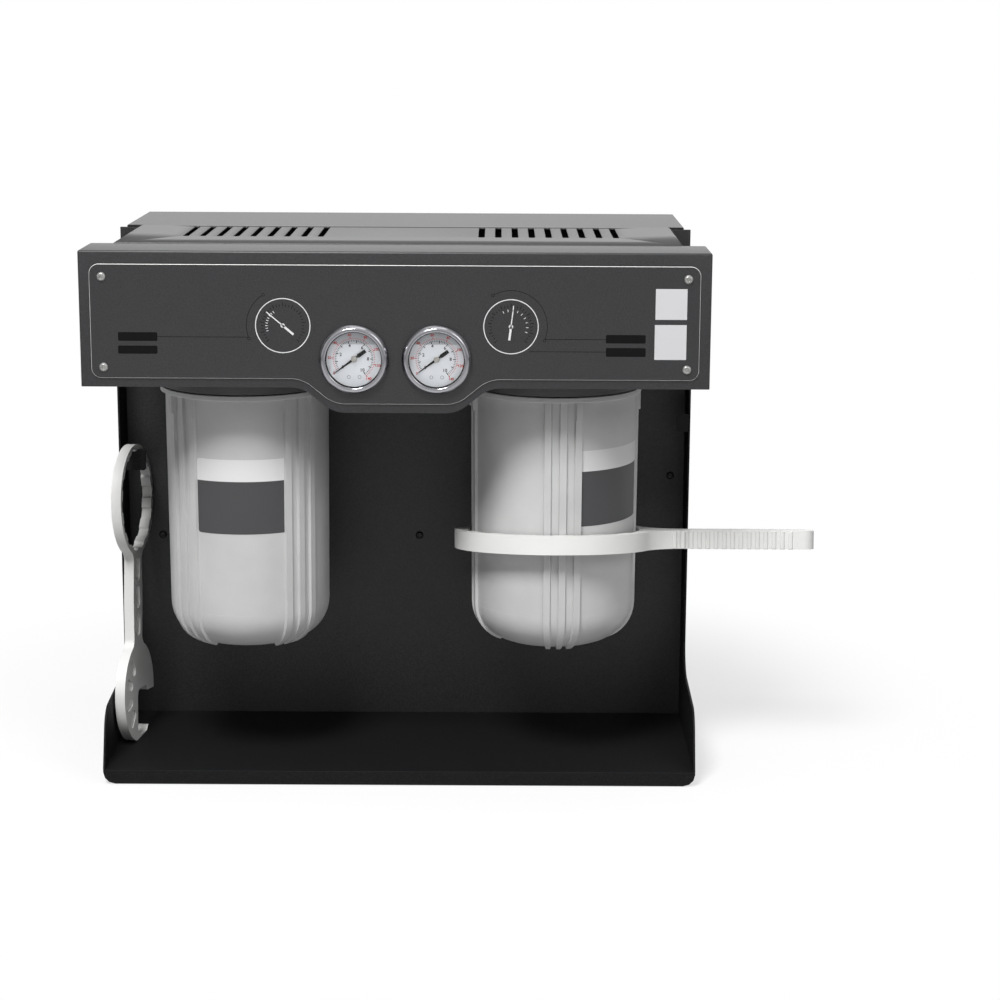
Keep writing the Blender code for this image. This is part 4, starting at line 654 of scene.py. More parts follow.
# Rear door
# A flat door of the same black sheet closes the casing behind. Louvres are pressed out of it over the slots
# that cool the motor, and round holes pass the three ports and the cable gland.
DOOR_CORNER = 0.006
DOOR_EDGE = 0.0003
LOUVRE_COUNT = 9
LOUVRE_PITCH = 0.014
LOUVRE_HEIGHT = 0.005
LOUVRE_WIDTH = 0.090
LOUVRE_AT = 0.155
LOUVRE_FOOT = 0.060
LOUVRE_PROUD = 0.0035
LOUVRE_ROUND = 0.006
LOUVRE_WALL = 0.0008
PORT_CLEARANCE = 0.0004
DOOR_FITTINGS = {"inlet_port": 0.0132, "permeate_port": 0.0132, "drain_port": 0.0132, "cable_gland": 0.009}


def centre_of(name):
    """The middle of a CAD node's box."""
    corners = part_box(name)
    return (corners[0] + corners[1]) / 2


def cut_off(bm, place, normal, **settings):
    """Cut all of a bmesh along a plane."""
    whole = bm.verts[:] + bm.edges[:] + bm.faces[:]
    bmesh.ops.bisect_plane(bm, geom=whole, plane_co=place, plane_no=normal, **settings)


low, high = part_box("rear_door")
door = bmesh.new()
rectangle(door, low.x, low.z, high.x, high.z, DOOR_CORNER, radians(15))
for name, radius in DOOR_FITTINGS.items():
    fitting = centre_of(name)
    round_hole(door, fitting.x, fitting.z, radius + PORT_CLEARANCE, 48)
lips = []
for index in range(LOUVRE_COUNT):
    foot = LOUVRE_FOOT + index * LOUVRE_PITCH
    left = LOUVRE_AT - LOUVRE_WIDTH / 2
    rectangle(door, left, foot, left + LOUVRE_WIDTH, foot + LOUVRE_HEIGHT)
    lip = bmesh.new()
    bmesh.ops.create_cone(
        lip, cap_ends=True, segments=48, radius1=LOUVRE_ROUND, radius2=LOUVRE_ROUND, depth=LOUVRE_WIDTH,
        matrix=Matrix.Rotation(radians(90), 4, "Y"),
    )
    for normal in ((0, 1, 0), (0, 0, 1)):
        cut_off(lip, (0, 0, 0), normal, clear_inner=True)
    bmesh.ops.scale(lip, vec=(1, LOUVRE_PROUD / LOUVRE_ROUND, 1), verts=lip.verts)
    move(lip, LOUVRE_AT, high.y, foot)
    lips.append(lip)
thicken(door, -high.y, -low.y)
stand(door)
soften(piece("rear_door_plate", door, bay_coat, "rear_door"), DOOR_EDGE, 1)
louvres = piece("rear_door_louvres", merged(*lips), bay_coat, "rear_door", replace=False, smooth=50)
sheet_wall(louvres, LOUVRE_WALL)

# Prefilter sumps
# Each is a 10 inch bowl moulded in grey polypropylene, with four groups of three ribs for the ring wrench.
# It has a waxy half-gloss, and its collar screws up against the filter head.
BOWL_RADIUS = 0.0875
BOWL_EDGE = 0.0005
FOOT_RADIUS = 0.086
FOOT_ROUND = 0.041
BOWL_WALL = 0.006
SEAT_RADIUS = 0.030
SEAT_HEIGHT = 0.006
SEAT_ROUND = 0.001
RIB_GROUPS = 4
RIB_PROUD = 0.003
RIB_WIDTH = 0.0088
RIB_DRAFT = 0.0008
RIB_PITCH = radians(10.5)
RIB_START = 0.0020
BOSS_PROUD = 0.0020
BOSS_LENGTH = 0.0191
COLLAR_LOW = 0.4196
COLLAR_HIGH = 0.4255
COLLAR_RADIUS = 0.093
COLLAR_ROUND = 0.0012
NECK_RADIUS = 0.084
PANEL_STEPS = 14
RIB_TURNS = {"left": radians(44.5), "right": radians(4.7)}
SMOOTH, RIB, BOSSED_RIB = range(3)
WEAR_SPREAD = (0.3, 0.7)


def drift(tree, shader, base, roughness, wear, contrast, gloss):
    """Let a surface's tone and gloss vary with a noise."""
    tint(tree, shader, base, mapped(tree, wear, 1 - contrast, 1 + contrast, *WEAR_SPREAD))
    dull = mapped(tree, wear, roughness * gloss[0], roughness * gloss[1], *WEAR_SPREAD)
    tree.links.new(dull, shader.inputs["Roughness"])


def moulded(name, base, roughness, grain, bump, mottle=0.05):
    """Injection-moulded plastic: a faint orange-peel skin and slow drifts in tone."""
    material, tree, shader = surface(name, base, roughness, IOR=1.49)
    roughen(tree, shader, noise(tree, grain, 2.0), bump, grain / 5)
    drift(tree, shader, base, roughness, noise(tree, grain * 40, 4.0), mottle, (0.9, 1.1))
    return material


bowl_plastic = moulded("moulded_grey_polypropylene", "#C3C3C3", 0.42, 0.0012, 0.10)
for side in ("left", "right"):
    low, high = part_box(f"{side}_sump")
    bore = NECK_RADIUS - BOWL_WALL
    boss_foot = COLLAR_LOW - BOSS_LENGTH
    floor_level = low.z + BOWL_WALL
    bowl = bmesh.new()
    trace(bowl, (
        (0, low.z, 0), (FOOT_RADIUS, low.z, FOOT_ROUND),
        (BOWL_RADIUS, boss_foot, 0), (BOWL_RADIUS, COLLAR_LOW, 0),
        (COLLAR_RADIUS, COLLAR_LOW, COLLAR_ROUND), (COLLAR_RADIUS, COLLAR_HIGH, COLLAR_ROUND),
        (NECK_RADIUS, COLLAR_HIGH, 0), (NECK_RADIUS, high.z, 0), (bore, high.z, 0),
        (bore, floor_level, FOOT_ROUND - BOWL_WALL), (SEAT_RADIUS, floor_level, 0),
        (SEAT_RADIUS, floor_level + SEAT_HEIGHT, SEAT_ROUND), (0, floor_level + SEAT_HEIGHT, 0),
    ), closed=False, step=radians(9))
    rib = RIB_WIDTH / BOWL_RADIUS
    gap = RIB_PITCH - rib
    panel = 2 * pi / RIB_GROUPS - 3 * rib - 2 * gap
    profile = bowl.verts[:] + bowl.edges[:]
    for mark, span, steps in RIB_GROUPS * (
        (BOSSED_RIB, rib, 1), (SMOOTH, gap, 1), (RIB, rib, 1), (SMOOTH, gap, 1),
        (BOSSED_RIB, rib, 1), (SMOOTH, panel, PANEL_STEPS),
    ):
        known = set(bowl.faces)
        profile = bmesh.ops.spin(
            bowl, geom=profile, cent=(0, 0, 0), axis=(0, 1, 0), angle=span, steps=steps
        )["geom_last"]
        for face in bowl.faces:
            if face not in known:
                face.material_index = mark
    weld(bowl)
    bmesh.ops.recalc_face_normals(bowl, faces=bowl.faces)
    middle = Vector((0, (low.z + COLLAR_LOW) / 2, 0))
    columns = [
        face for face in bowl.faces if face.material_index != SMOOTH
        and low.z + RIB_START < face.calc_center_median().y < COLLAR_LOW - MERGE
        and face.normal.dot(face.calc_center_median() - middle) > 0
    ]
    bmesh.ops.inset_region(bowl, faces=columns, thickness=RIB_DRAFT, depth=RIB_PROUD, use_even_offset=True)
    bosses = [
        face for face in bowl.faces if face.material_index == BOSSED_RIB
        and boss_foot < face.calc_center_median().y < COLLAR_LOW
        and face.calc_center_median().xz.length > BOWL_RADIUS + RIB_PROUD / 2
        and face.calc_area() > RIB_WIDTH * BOSS_LENGTH / 2
    ]
    bmesh.ops.inset_region(
        bowl, faces=bosses, thickness=RIB_DRAFT / 4, depth=BOSS_PROUD, use_even_offset=True
    )
    for vert in bowl.verts:
        if COLLAR_LOW - 3 * RIB_DRAFT < vert.co.y < COLLAR_LOW and vert.co.xz.length > BOWL_RADIUS + MERGE:
            vert.co.y = COLLAR_LOW + RIB_DRAFT / 4
    for face in bowl.faces:
        face.material_index = 0
    start = RIB_TURNS[side] - pi / 2 - RIB_PITCH - rib / 2
    move(bowl, turn=Matrix.Rotation(start, 4, "Y"))
    stand(bowl, *centre_of(f"{side}_sump").xy)
    soften(piece(f"{side}_sump_bowl", bowl, bowl_plastic, f"{side}_sump"), BOWL_EDGE)

# Sump labels
# A matt film sticker on each bowl, between two groups of ribs: a white band over a dark grey field with
# round corners. Its wording is left out. Below it a fine parting line of the mould runs round the bowl.
LABEL_HALF = radians(32.5)
LABEL_THICK = 0.00012
LABEL_CORNER = 0.003
LABEL_CUTS = 24
LABELS = {
    "left": (radians(0.5), 0.2767, 0.3333, 0.3568), "right": (radians(49.1), 0.2862, 0.3453, 0.3675),
}
PARTING_LEVEL = 0.187
PARTING_PROUD = 0.0003

label_white = surface("white_label_film", "#DDDDDD", 0.45)[0]
label_grey = surface("grey_label_film", "#38383A", 0.5)[0]


def turned(corners, segments, place, turn=STAND):
    """Turn a profile of (radius, height, corner radius) points about a standing axis at a place."""
    bm = bmesh.new()
    trace(bm, corners, closed=corners[0][0] > 0, step=radians(9))
    bmesh.ops.spin(
        bm, geom=bm.verts[:] + bm.edges[:], cent=(0, 0, 0), axis=(0, 1, 0), angle=2 * pi,
        steps=segments, use_merge=True,
    )
    weld(bm)
    bmesh.ops.recalc_face_normals(bm, faces=bm.faces)
    move(bm, *place, turn=turn)
    return bm


def band(inner, outer, low, high, low_round=0.0, high_round=0.0):
    """The profile of a plain ring, with its two outer edges rounded."""
    return (inner, low, 0), (outer, low, low_round), (outer, high, high_round), (inner, high, 0)


def wrap(bm, side, turn):
    """Bend a flat label round its bowl, a little proud of it."""
    for cut in range(1, LABEL_CUTS):
        cut_off(bm, ((2 * cut / LABEL_CUTS - 1) * LABEL_HALF * BOWL_RADIUS, 0, 0), (1, 0, 0))
    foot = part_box(f"{side}_sump")[0].z
    middle = centre_of(f"{side}_sump")
    for vert in bm.verts:
        along = (vert.co.y - foot) / (COLLAR_LOW - BOSS_LENGTH - foot)
        radius = FOOT_RADIUS + (BOWL_RADIUS - FOOT_RADIUS) * along + vert.co.z
        out = polar(radius, turn - pi / 2 + vert.co.x / BOWL_RADIUS)
        vert.co = (middle.x + out[0], middle.y + out[1], vert.co.y)


for side, (turn, bottom, seam, top) in LABELS.items():
    half = LABEL_HALF * BOWL_RADIUS
    for name, material, edge_low, edge_high, low_round, high_round, slot in (
        ("band", label_white, seam, top, 0, LABEL_CORNER, "dial_white"),
        ("field", label_grey, bottom, seam, LABEL_CORNER, 0, "box_grey"),
    ):
        film = bmesh.new()
        rectangle(film, -half, edge_low, half, edge_high, low_round, radians(15), high_round)
        thicken(film, 0, LABEL_THICK)
        wrap(film, side, turn)
        piece(f"{side}_label_{name}", film, material, f"{side}_sump", replace=False)
    line = turned(band(
        FOOT_RADIUS - PARTING_PROUD, FOOT_RADIUS + PARTING_PROUD,
        PARTING_LEVEL, PARTING_LEVEL + 2 * PARTING_PROUD,
    ), 96, centre_of(f"{side}_sump").xy)
    piece(f"{side}_parting_line", line, bowl_plastic, f"{side}_sump", replace=False)

# Filter heads
# The caps that the sumps screw up into, of glossy black glass-filled polypropylene. The hood hides them
# but for the skirts that come down to the sumps' collars. The skirts' black is partly the heads' own rims
# and partly painted shade for the hood's shadow over the top of the collars.
HEAD_EDGE = 0.0006
SKIRT_LOW = 0.4258
SKIRT_HIGH = 0.4364
SKIRT_CLEARANCE = 0.0012
SKIRT_ROUND = 0.001

head_plastic = moulded("black_glass_filled_polypropylene", "#1B1B1D", 0.4, 0.0009, 0.25)
for side in ("left", "right"):
    from_frame(f"{side}_filter_head", head_plastic, HEAD_EDGE)
    skirt_and_shade = turned(band(
        NECK_RADIUS + SKIRT_CLEARANCE, COLLAR_RADIUS - SKIRT_CLEARANCE, SKIRT_LOW, SKIRT_HIGH, SKIRT_ROUND
    ), 96, centre_of(f"{side}_sump").xy)
    piece(f"{side}_head_skirt_and_shade", skirt_and_shade, head_plastic, f"{side}_filter_head", replace=False)

# Ring wrench
# The spanner for the big housings, moulded in white glass-filled nylon: a deep ring with lugs inside that
# bear on the ribs, running out smoothly into one handle with gripping ribs down both its sides.
RING_INNER = 0.0936
RING_RECESS = 0.0971
RING_OUTER = 0.1081
RING_LUGS = 16
RING_HEIGHT = 0.020
RING_EDGE = 0.0009
RING_TILT = radians(8.5)
RING_LEVEL = 0.2550
RING_REACH = 0.284
NECK_HALF = 0.013
FLARE_ROUND = 0.050
GRIP_HALF = 0.0154
GRIP_PROUD = 0.0016
GRIP_ROUND = 0.001
GRIP_INSET = 0.0006
GRIP_START = 0.1503
GRIP_PITCH = 0.009
GRIP_COUNT = 15
GRIP_FROM = 0.129
TIP_ROUND = 0.012

nylon = moulded("moulded_white_nylon", "#E0E0DE", 0.48, 0.0014, 0.12, 0.02)


def arc_corners(centre, radius, start, end, pieces):
    """Corners, each with the given radius, that draw an arc from one angle to another."""
    span = (end - start) / pieces
    corners = [polar(radius / cos(span / 2), start + span * (index + 0.5)) for index in range(pieces)]
    return [(centre[0] + x, centre[1] + y, radius) for x, y in corners]


def fillet(radius, half, round_off):
    """Where a handle's edge leaves a ring through a fillet: (angle, distance of its corner)."""
    leave = asin((half + round_off) / (radius + round_off))
    return leave, radius * cos(leave) + (radius * sin(leave) - half) * tan(leave)


def lugged_hole(bm, inner, recess, lugs, steps=12):
    """A round hole whose edge steps in at each lug."""
    ring = bmesh.ops.create_circle(bm, segments=lugs * steps, radius=inner)["verts"]
    for index, vert in enumerate(ring):
        if index % steps >= steps / 2:
            vert.co *= recess / inner


spanner = bmesh.new()
leave, neck_at = fillet(RING_OUTER, NECK_HALF, FLARE_ROUND)
trace(spanner, [
    (neck_at, NECK_HALF, FLARE_ROUND),
    *arc_corners((0, 0), RING_OUTER, leave, 2 * pi - leave, 8),
    (neck_at, -NECK_HALF, FLARE_ROUND),
    (GRIP_START, -NECK_HALF, 0), (GRIP_START, -GRIP_HALF, 0),
    (RING_REACH, -GRIP_HALF, TIP_ROUND), (RING_REACH, GRIP_HALF, TIP_ROUND),
    (GRIP_START, GRIP_HALF, 0), (GRIP_START, NECK_HALF, 0),
], step=radians(3))
lugged_hole(spanner, RING_INNER, RING_RECESS, RING_LUGS)
thicken(spanner, -RING_HEIGHT / 2, RING_HEIGHT / 2)
grips = []
for way in (-1, 1):
    for index in range(GRIP_COUNT):
        near = GRIP_FROM + index * GRIP_PITCH
        root, crest = way * (GRIP_HALF - GRIP_PROUD), way * (GRIP_HALF + GRIP_PROUD)
        grip = bmesh.new()
        rectangle(grip, near, root, near + GRIP_PITCH / 2, crest, 0, radians(30), GRIP_ROUND)
        thicken(grip, -RING_HEIGHT / 2 + GRIP_INSET, RING_HEIGHT / 2 - GRIP_INSET)
        grips.append(grip)
spanner = merged(spanner, *grips)
move(spanner, *centre_of("right_sump").xy, RING_LEVEL, Matrix.Rotation(-RING_TILT, 4, "X"))
soften(piece("ring_wrench_moulding", spanner, nylon, "ring_wrench"), RING_EDGE)

# Hanging wrench
# The spanner for the smaller housings, in the same white nylon: a lugged ring at one end and an open jaw
# at the other, with pockets sunk in both faces so that only rims and ribs are left between them.
HOOK_OUTER = 0.0617
HOOK_INNER = 0.0545
HOOK_RECESS = 0.0570
HOOK_LUGS = 14
HOOK_THICK = 0.011
HOOK_EDGE = 0.0008
WAIST_HALF = 0.0145
WAIST_ROUND = 0.012
SHANK_HALF = 0.017
SHANK_ROUND = 0.2
JAW_CENTRE = (0.0027, -0.2160)
JAW_RADIUS = 0.0555
JAW_THROAT = -0.006
JAW_MOUTH = 0.052
JAW_MOUTH_TOP = 0.003
JAW_MOUTH_ROUND = 0.010
JAW_TOOTH = 0.006
JAW_TOOTH_START = 0.028
JAW_TOOTH_SLOPE = 0.004
WEB_THICK = 0.004
WEB_OVERLAP = 0.0005
WEB_ROUND_SHARE = 0.98
WEB_COUNT = 3
WEB_LENGTH = 0.026
WEB_WIDTH = 0.015
WEB_PITCH = 0.031
WEB_START = 0.078
JAW_WEB_COUNT = 4
JAW_WEB_RADIUS = 0.037
JAW_WEB_LENGTH = 0.022
JAW_WEB_WIDTH = 0.011
JAW_WEB_PITCH = radians(34)
JAW_WEB_START = radians(128)
HOOK_PLACE = (-0.3034, -0.15545, 0.2822)
HOOK_TURN = Euler((radians(-8), radians(-1.3), radians(-8)))


def pockets(bm, grow=0.0):
    """The outlines of the sunk pockets, drawn in the wrench's own plane."""
    places = [
        (0, -WEB_START - index * WEB_PITCH, pi / 2, WEB_LENGTH, WEB_WIDTH) for index in range(WEB_COUNT)
    ]
    for index in range(JAW_WEB_COUNT):
        turn = JAW_WEB_START + index * JAW_WEB_PITCH
        x, y = polar(JAW_WEB_RADIUS, turn)
        places.append((JAW_CENTRE[0] + x, JAW_CENTRE[1] + y, turn, JAW_WEB_LENGTH, JAW_WEB_WIDTH))
    for x, y, turn, length, width in places:
        known = set(bm.verts)
        half, side = length / 2 + grow, width / 2 + grow
        rectangle(bm, -half, -side, half, side, side * WEB_ROUND_SHARE, radians(15))
        fresh = [vert for vert in bm.verts if vert not in known]
        move(bm, x, y, 0, Matrix.Rotation(turn, 4, "Z"), fresh)


hanger = bmesh.new()
ring_leave, ring_neck = fillet(HOOK_OUTER, WAIST_HALF, WAIST_ROUND)
jaw_x, jaw_y = JAW_CENTRE
left_leave, left_neck = fillet(JAW_RADIUS, WAIST_HALF + jaw_x, WAIST_ROUND)
right_leave, right_neck = fillet(JAW_RADIUS, WAIST_HALF - jaw_x, WAIST_ROUND)
mouth_top = jaw_y + JAW_MOUTH_TOP
mouth_foot = mouth_top - JAW_MOUTH
tip_turn = asin((JAW_MOUTH_TOP - JAW_TOOTH) / JAW_RADIUS)
chin_turn = asin((JAW_MOUTH_TOP - JAW_MOUTH + JAW_TOOTH) / JAW_RADIUS)
throat = jaw_x + JAW_THROAT
tooth = jaw_x + JAW_TOOTH_START
shank_y = (jaw_y + left_neck - ring_neck) / 2
trace(hanger, [
    (WAIST_HALF, -ring_neck, WAIST_ROUND),
    *arc_corners((0, 0), HOOK_OUTER, ring_leave - pi / 2, 3 * pi / 2 - ring_leave, 8),
    (-WAIST_HALF, -ring_neck, WAIST_ROUND),
    (-SHANK_HALF, shank_y, SHANK_ROUND),
    (-WAIST_HALF, jaw_y + left_neck, WAIST_ROUND),
    *arc_corners(JAW_CENTRE, JAW_RADIUS, pi / 2 + left_leave, 2 * pi + chin_turn, 6),
    (jaw_x + JAW_RADIUS * cos(chin_turn), jaw_y + JAW_RADIUS * sin(chin_turn), 0),
    (tooth + JAW_TOOTH_SLOPE, mouth_foot + JAW_TOOTH, 0), (tooth, mouth_foot, 0),
    (throat, mouth_foot, JAW_MOUTH_ROUND), (throat, mouth_top, JAW_MOUTH_ROUND),
    (tooth, mouth_top, 0), (tooth + JAW_TOOTH_SLOPE, mouth_top - JAW_TOOTH, 0),
    (jaw_x + JAW_RADIUS * cos(tip_turn), jaw_y + JAW_RADIUS * sin(tip_turn), 0),
    *arc_corners(JAW_CENTRE, JAW_RADIUS, tip_turn, pi / 2 - right_leave, 3),
    (WAIST_HALF, jaw_y + right_neck, WAIST_ROUND),
    (SHANK_HALF, shank_y, SHANK_ROUND),
], step=radians(3))
lugged_hole(hanger, HOOK_INNER, HOOK_RECESS, HOOK_LUGS)
pockets(hanger)
thicken(hanger, -HOOK_THICK / 2, HOOK_THICK / 2)
webs = bmesh.new()
pockets(webs, WEB_OVERLAP)
thicken(webs, -WEB_THICK / 2, WEB_THICK / 2)
hanger = merged(hanger, webs)
move(hanger, *HOOK_PLACE, HOOK_TURN.to_matrix().to_4x4() @ ACROSS)
soften(piece("hanging_wrench_moulding", hanger, nylon, "hanging_wrench"), HOOK_EDGE)

# Pressure gauges
# Glycerine-filled 63 mm gauges in a can of brushed nickel with a chrome-plated press-on bezel. A white dial
# with a black inner and a red outer scale, a black aluminium needle on a plain hub, and a flat lens.
CAN_RADIUS = 0.0313
CAN_EDGE = 0.0004
BEZEL_RADIUS = 0.0355
BEZEL_BACK = 0.0026
BEZEL_SHOULDER = 0.006
BEZEL_FRONT = 0.0099
BEZEL_FALL = 0.0032
BEZEL_LIP = 0.0286
BEZEL_CLEARANCE = 0.0003
LENS_BACK = 0.0056
LENS_FRONT = 0.0073
GASKET_SHOWN = 0.0009
GASKET_OUTER = 0.0291
GASKET_BACK = 0.0010
GASKET_FRONT = 0.0002
DIAL_FACE = -0.0002
DIAL_THICK = 0.0008
DIAL_RADIUS = 0.029
LIQUID_LEVEL = 0.0150
LIQUID_BLUR = 0.0004
DIAL_WET = "#CDD0D5"
DIAL_DRY_SHADED = "#A6A9AE"
PRINT_THICK = 0.00006
PRINT_SPREAD = 0.0001
MARKS_ACROSS = 0.0055
MARKS_BELOW = 0.0185
MARK_RADII = (0.0019, 0.0013)
NEEDLE_LENGTH = 0.0235
NEEDLE_ROOT = 0.0013
NEEDLE_TIP = 0.00032
NEEDLE_THICK = 0.0007
NEEDLE_LIFT = 0.0003
NEEDLE_EDGE = 0.0001
TAIL_LENGTH = 0.0145
TAIL_HALF = 0.0019
TAIL_ROUND = 0.0004
TAIL_START = 0.0055
TAIL_NECK = 0.0042
TAIL_NECK_HALF = 0.0008
HUB_RADIUS = 0.003
HUB_HEIGHT = 0.0024
HUB_ROUND = 0.0006
GAUGE_START = radians(216)

chrome = surface("chrome_plated_bezel", "#98989C", 0.12, 1.0)[0]
glass = surface("gauge_lens_glass", "#FFFFFF", 0.02, Transmission_Weight=1.0, IOR=1.25)[0]
black_print = surface("black_dial_print", "#080808", 0.6, Specular_IOR_Level=0.1)[0]
red_print = surface("red_dial_print", "#B01C14", 0.6, Specular_IOR_Level=0.1)[0]
grey_print = surface("grey_dial_print", "#8A8C90", 0.6)[0]
needle_paint = surface("black_anodised_needle", "#090909", 0.45, Specular_IOR_Level=0.2)[0]
hub_metal = surface("brushed_nickel_hub", "#A8A6A0", 0.32, 1.0)[0]
# Above the glycerine the dial is painted darker: partly for the air over the liquid, and partly as painted
# shade for the bezel's shadow over the dial's top.
dial_paint, dial_tree, dial_shader = surface("white_gauge_dial", DIAL_WET, 0.55)
dial_spot = node(dial_tree, "ShaderNodeTexCoord")
dial_axes = node(dial_tree, "ShaderNodeSeparateXYZ", [("Vector", dial_spot.outputs["Object"])])
liquid_top = GAUGE_HEIGHT + LIQUID_LEVEL
dry_and_shaded = mapped(
    dial_tree, dial_axes.outputs["Z"], 0.0, 1.0, liquid_top - LIQUID_BLUR, liquid_top + LIQUID_BLUR
)
dial_tone = node(dial_tree, "ShaderNodeMix", [
    ("Factor", dry_and_shaded), (6, colour(DIAL_WET)), (7, colour(DIAL_DRY_SHADED)),
], data_type="RGBA")
dial_tree.links.new(dial_tone.outputs[2], dial_shader.inputs["Base Color"])

TO_FRONT = STAND @ STAND
# Each: material, steps, steps to a long mark, (from, to, width) twice, last number, its step, size, radius.
SCALES = {
    "black": (
        black_print, 50, 5, (0.0166, 0.0196, 0.0009), (0.0179, 0.0196, 0.00055), 10, 2, 0.0048, 0.0142,
    ),
    "red": (
        red_print, 56, 8, (0.0203, 0.0227, 0.0008), (0.0203, 0.0216, 0.0005), 140, 20, 0.0038, 0.0250,
    ),
}


def number(text, size, x, y):
    """A plain printed number, centred on a point."""
    font = bpy.data.curves.new("number", "FONT")
    font.body = text
    font.size = size
    font.align_x = "CENTER"
    font.align_y = "CENTER"
    font.extrude = PRINT_THICK / 2
    font.offset = PRINT_SPREAD
    font.resolution_u = 2
    written = bpy.data.objects.new("number", font)
    mesh = bpy.data.meshes.new_from_object(written)
    bm = bmesh.new()
    bm.from_mesh(mesh)
    move(bm, x, y, PRINT_THICK / 2)
    bpy.data.objects.remove(written)
    bpy.data.curves.remove(font)
    bpy.data.meshes.remove(mesh)
    return bm


for side, across in (("left", -GAUGE_AT), ("right", GAUGE_AT)):
    mouth = (across, hood_low.y, GAUGE_HEIGHT)
    face = (across, hood_low.y - DIAL_FACE, GAUGE_HEIGHT)
    from_frame(f"{side}_gauge_case", hub_metal, CAN_EDGE)
    bezel = turned((
        (CAN_RADIUS + BEZEL_CLEARANCE, BEZEL_BACK, 0), (BEZEL_RADIUS, BEZEL_BACK, 0.0004),
        (BEZEL_RADIUS, BEZEL_SHOULDER, 0.002), (BEZEL_RADIUS - BEZEL_FALL, BEZEL_FRONT, 0.0022),
        (BEZEL_LIP, BEZEL_FRONT, 0.0012), (BEZEL_LIP, LENS_FRONT + BEZEL_CLEARANCE, 0.0002),
        (CAN_RADIUS + BEZEL_CLEARANCE, LENS_FRONT + BEZEL_CLEARANCE, 0),
    ), 96, mouth, TO_FRONT)
    piece(f"{side}_bezel_ring", bezel, chrome, f"{side}_gauge_bezel")
    pane = turned(band(0, CAN_RADIUS, LENS_BACK, LENS_FRONT), 96, mouth, TO_FRONT)
    piece(f"{side}_lens_disc", pane, glass, f"{side}_gauge_lens")
    # Painted shade: a black ring round the lens, partly its seal and partly standing for the dark reflection
    # inside the bezel.
    seal_and_shade_ring = turned(band(
        BEZEL_LIP - GASKET_SHOWN, GASKET_OUTER, LENS_BACK - GASKET_BACK, LENS_BACK - GASKET_FRONT
    ), 96, mouth, TO_FRONT)
    piece(
        f"{side}_lens_seal_and_shade_ring", seal_and_shade_ring, black_print, f"{side}_gauge_bezel", replace=False
    )
    dial = bmesh.new()
    round_hole(dial, 0, 0, DIAL_RADIUS, 96)
    thicken(dial, -DIAL_THICK, 0)
    stand(dial, *face)
    piece(f"{side}_dial_disc", dial, dial_paint, f"{side}_gauge_dial")

    for name, (material, steps, each, long_mark, short_mark, last, count, size, radius) in SCALES.items():
        shapes = []
        for step in range(steps + 1):
            foot, reach, width = short_mark if step % each else long_mark
            turn = GAUGE_START - step / steps * SCALE_SPAN
            shapes.append(stripe(polar(foot, turn), polar(reach, turn), width))
        for value in range(0, last + 1, count):
            shapes.append(number(str(value), size, *polar(radius, GAUGE_START - value / last * SCALE_SPAN)))
        scale = merged(*shapes)
        stand(scale, *face)
        piece(f"{side}_{name}_scale", scale, material, f"{side}_gauge_dial", replace=False)
    marks = bmesh.new()
    for x in (-MARKS_ACROSS, MARKS_ACROSS):
        for radius in MARK_RADII:
            round_hole(marks, x, -MARKS_BELOW, radius, 24)
    thicken(marks, 0, PRINT_THICK)
    stand(marks, *face)
    piece(f"{side}_dial_marks", marks, grey_print, f"{side}_gauge_dial", replace=False)

    pointer = bmesh.new()
    trace(pointer, (
        (-TAIL_HALF, -TAIL_LENGTH, TAIL_ROUND), (TAIL_HALF, -TAIL_LENGTH, TAIL_ROUND),
        (TAIL_HALF, -TAIL_START, TAIL_ROUND), (TAIL_NECK_HALF, -TAIL_NECK, 0), (NEEDLE_ROOT, 0, 0),
        (NEEDLE_TIP, NEEDLE_LENGTH, 0), (-NEEDLE_TIP, NEEDLE_LENGTH, 0), (-NEEDLE_ROOT, 0, 0),
        (-TAIL_NECK_HALF, -TAIL_NECK, 0), (-TAIL_HALF, -TAIL_START, TAIL_ROUND),
    ), step=radians(30))
    thicken(pointer, 0, NEEDLE_THICK)
    move(pointer, turn=Matrix.Rotation(GAUGE_START - pi / 2, 4, "Z"))
    stand(pointer, across, hood_low.y - DIAL_FACE - NEEDLE_LIFT, GAUGE_HEIGHT)
    soften(piece(f"{side}_needle_blade", pointer, needle_paint, f"{side}_gauge_needle"), NEEDLE_EDGE, 1)
    hub_back = DIAL_FACE + NEEDLE_LIFT
    hub = turned(band(
        0, HUB_RADIUS, hub_back, hub_back + HUB_HEIGHT, high_round=HUB_ROUND
    ), 32, mouth, TO_FRONT)
    piece(f"{side}_needle_hub", hub, hub_metal, f"{side}_gauge_needle", replace=False)

# Fascia screws
# Zinc-plated pan heads with a round socket, one in each corner of the plate.
SCREW_HEAD = 0.0046
SCREW_CROWN = 0.68
SCREW_HEIGHT = 0.0024
SCREW_SHANK = 0.0021
SCREW_LENGTH = 0.012
SCREW_SOCKET = 0.0018
SCREW_SOCKET_DEPTH = 0.0014

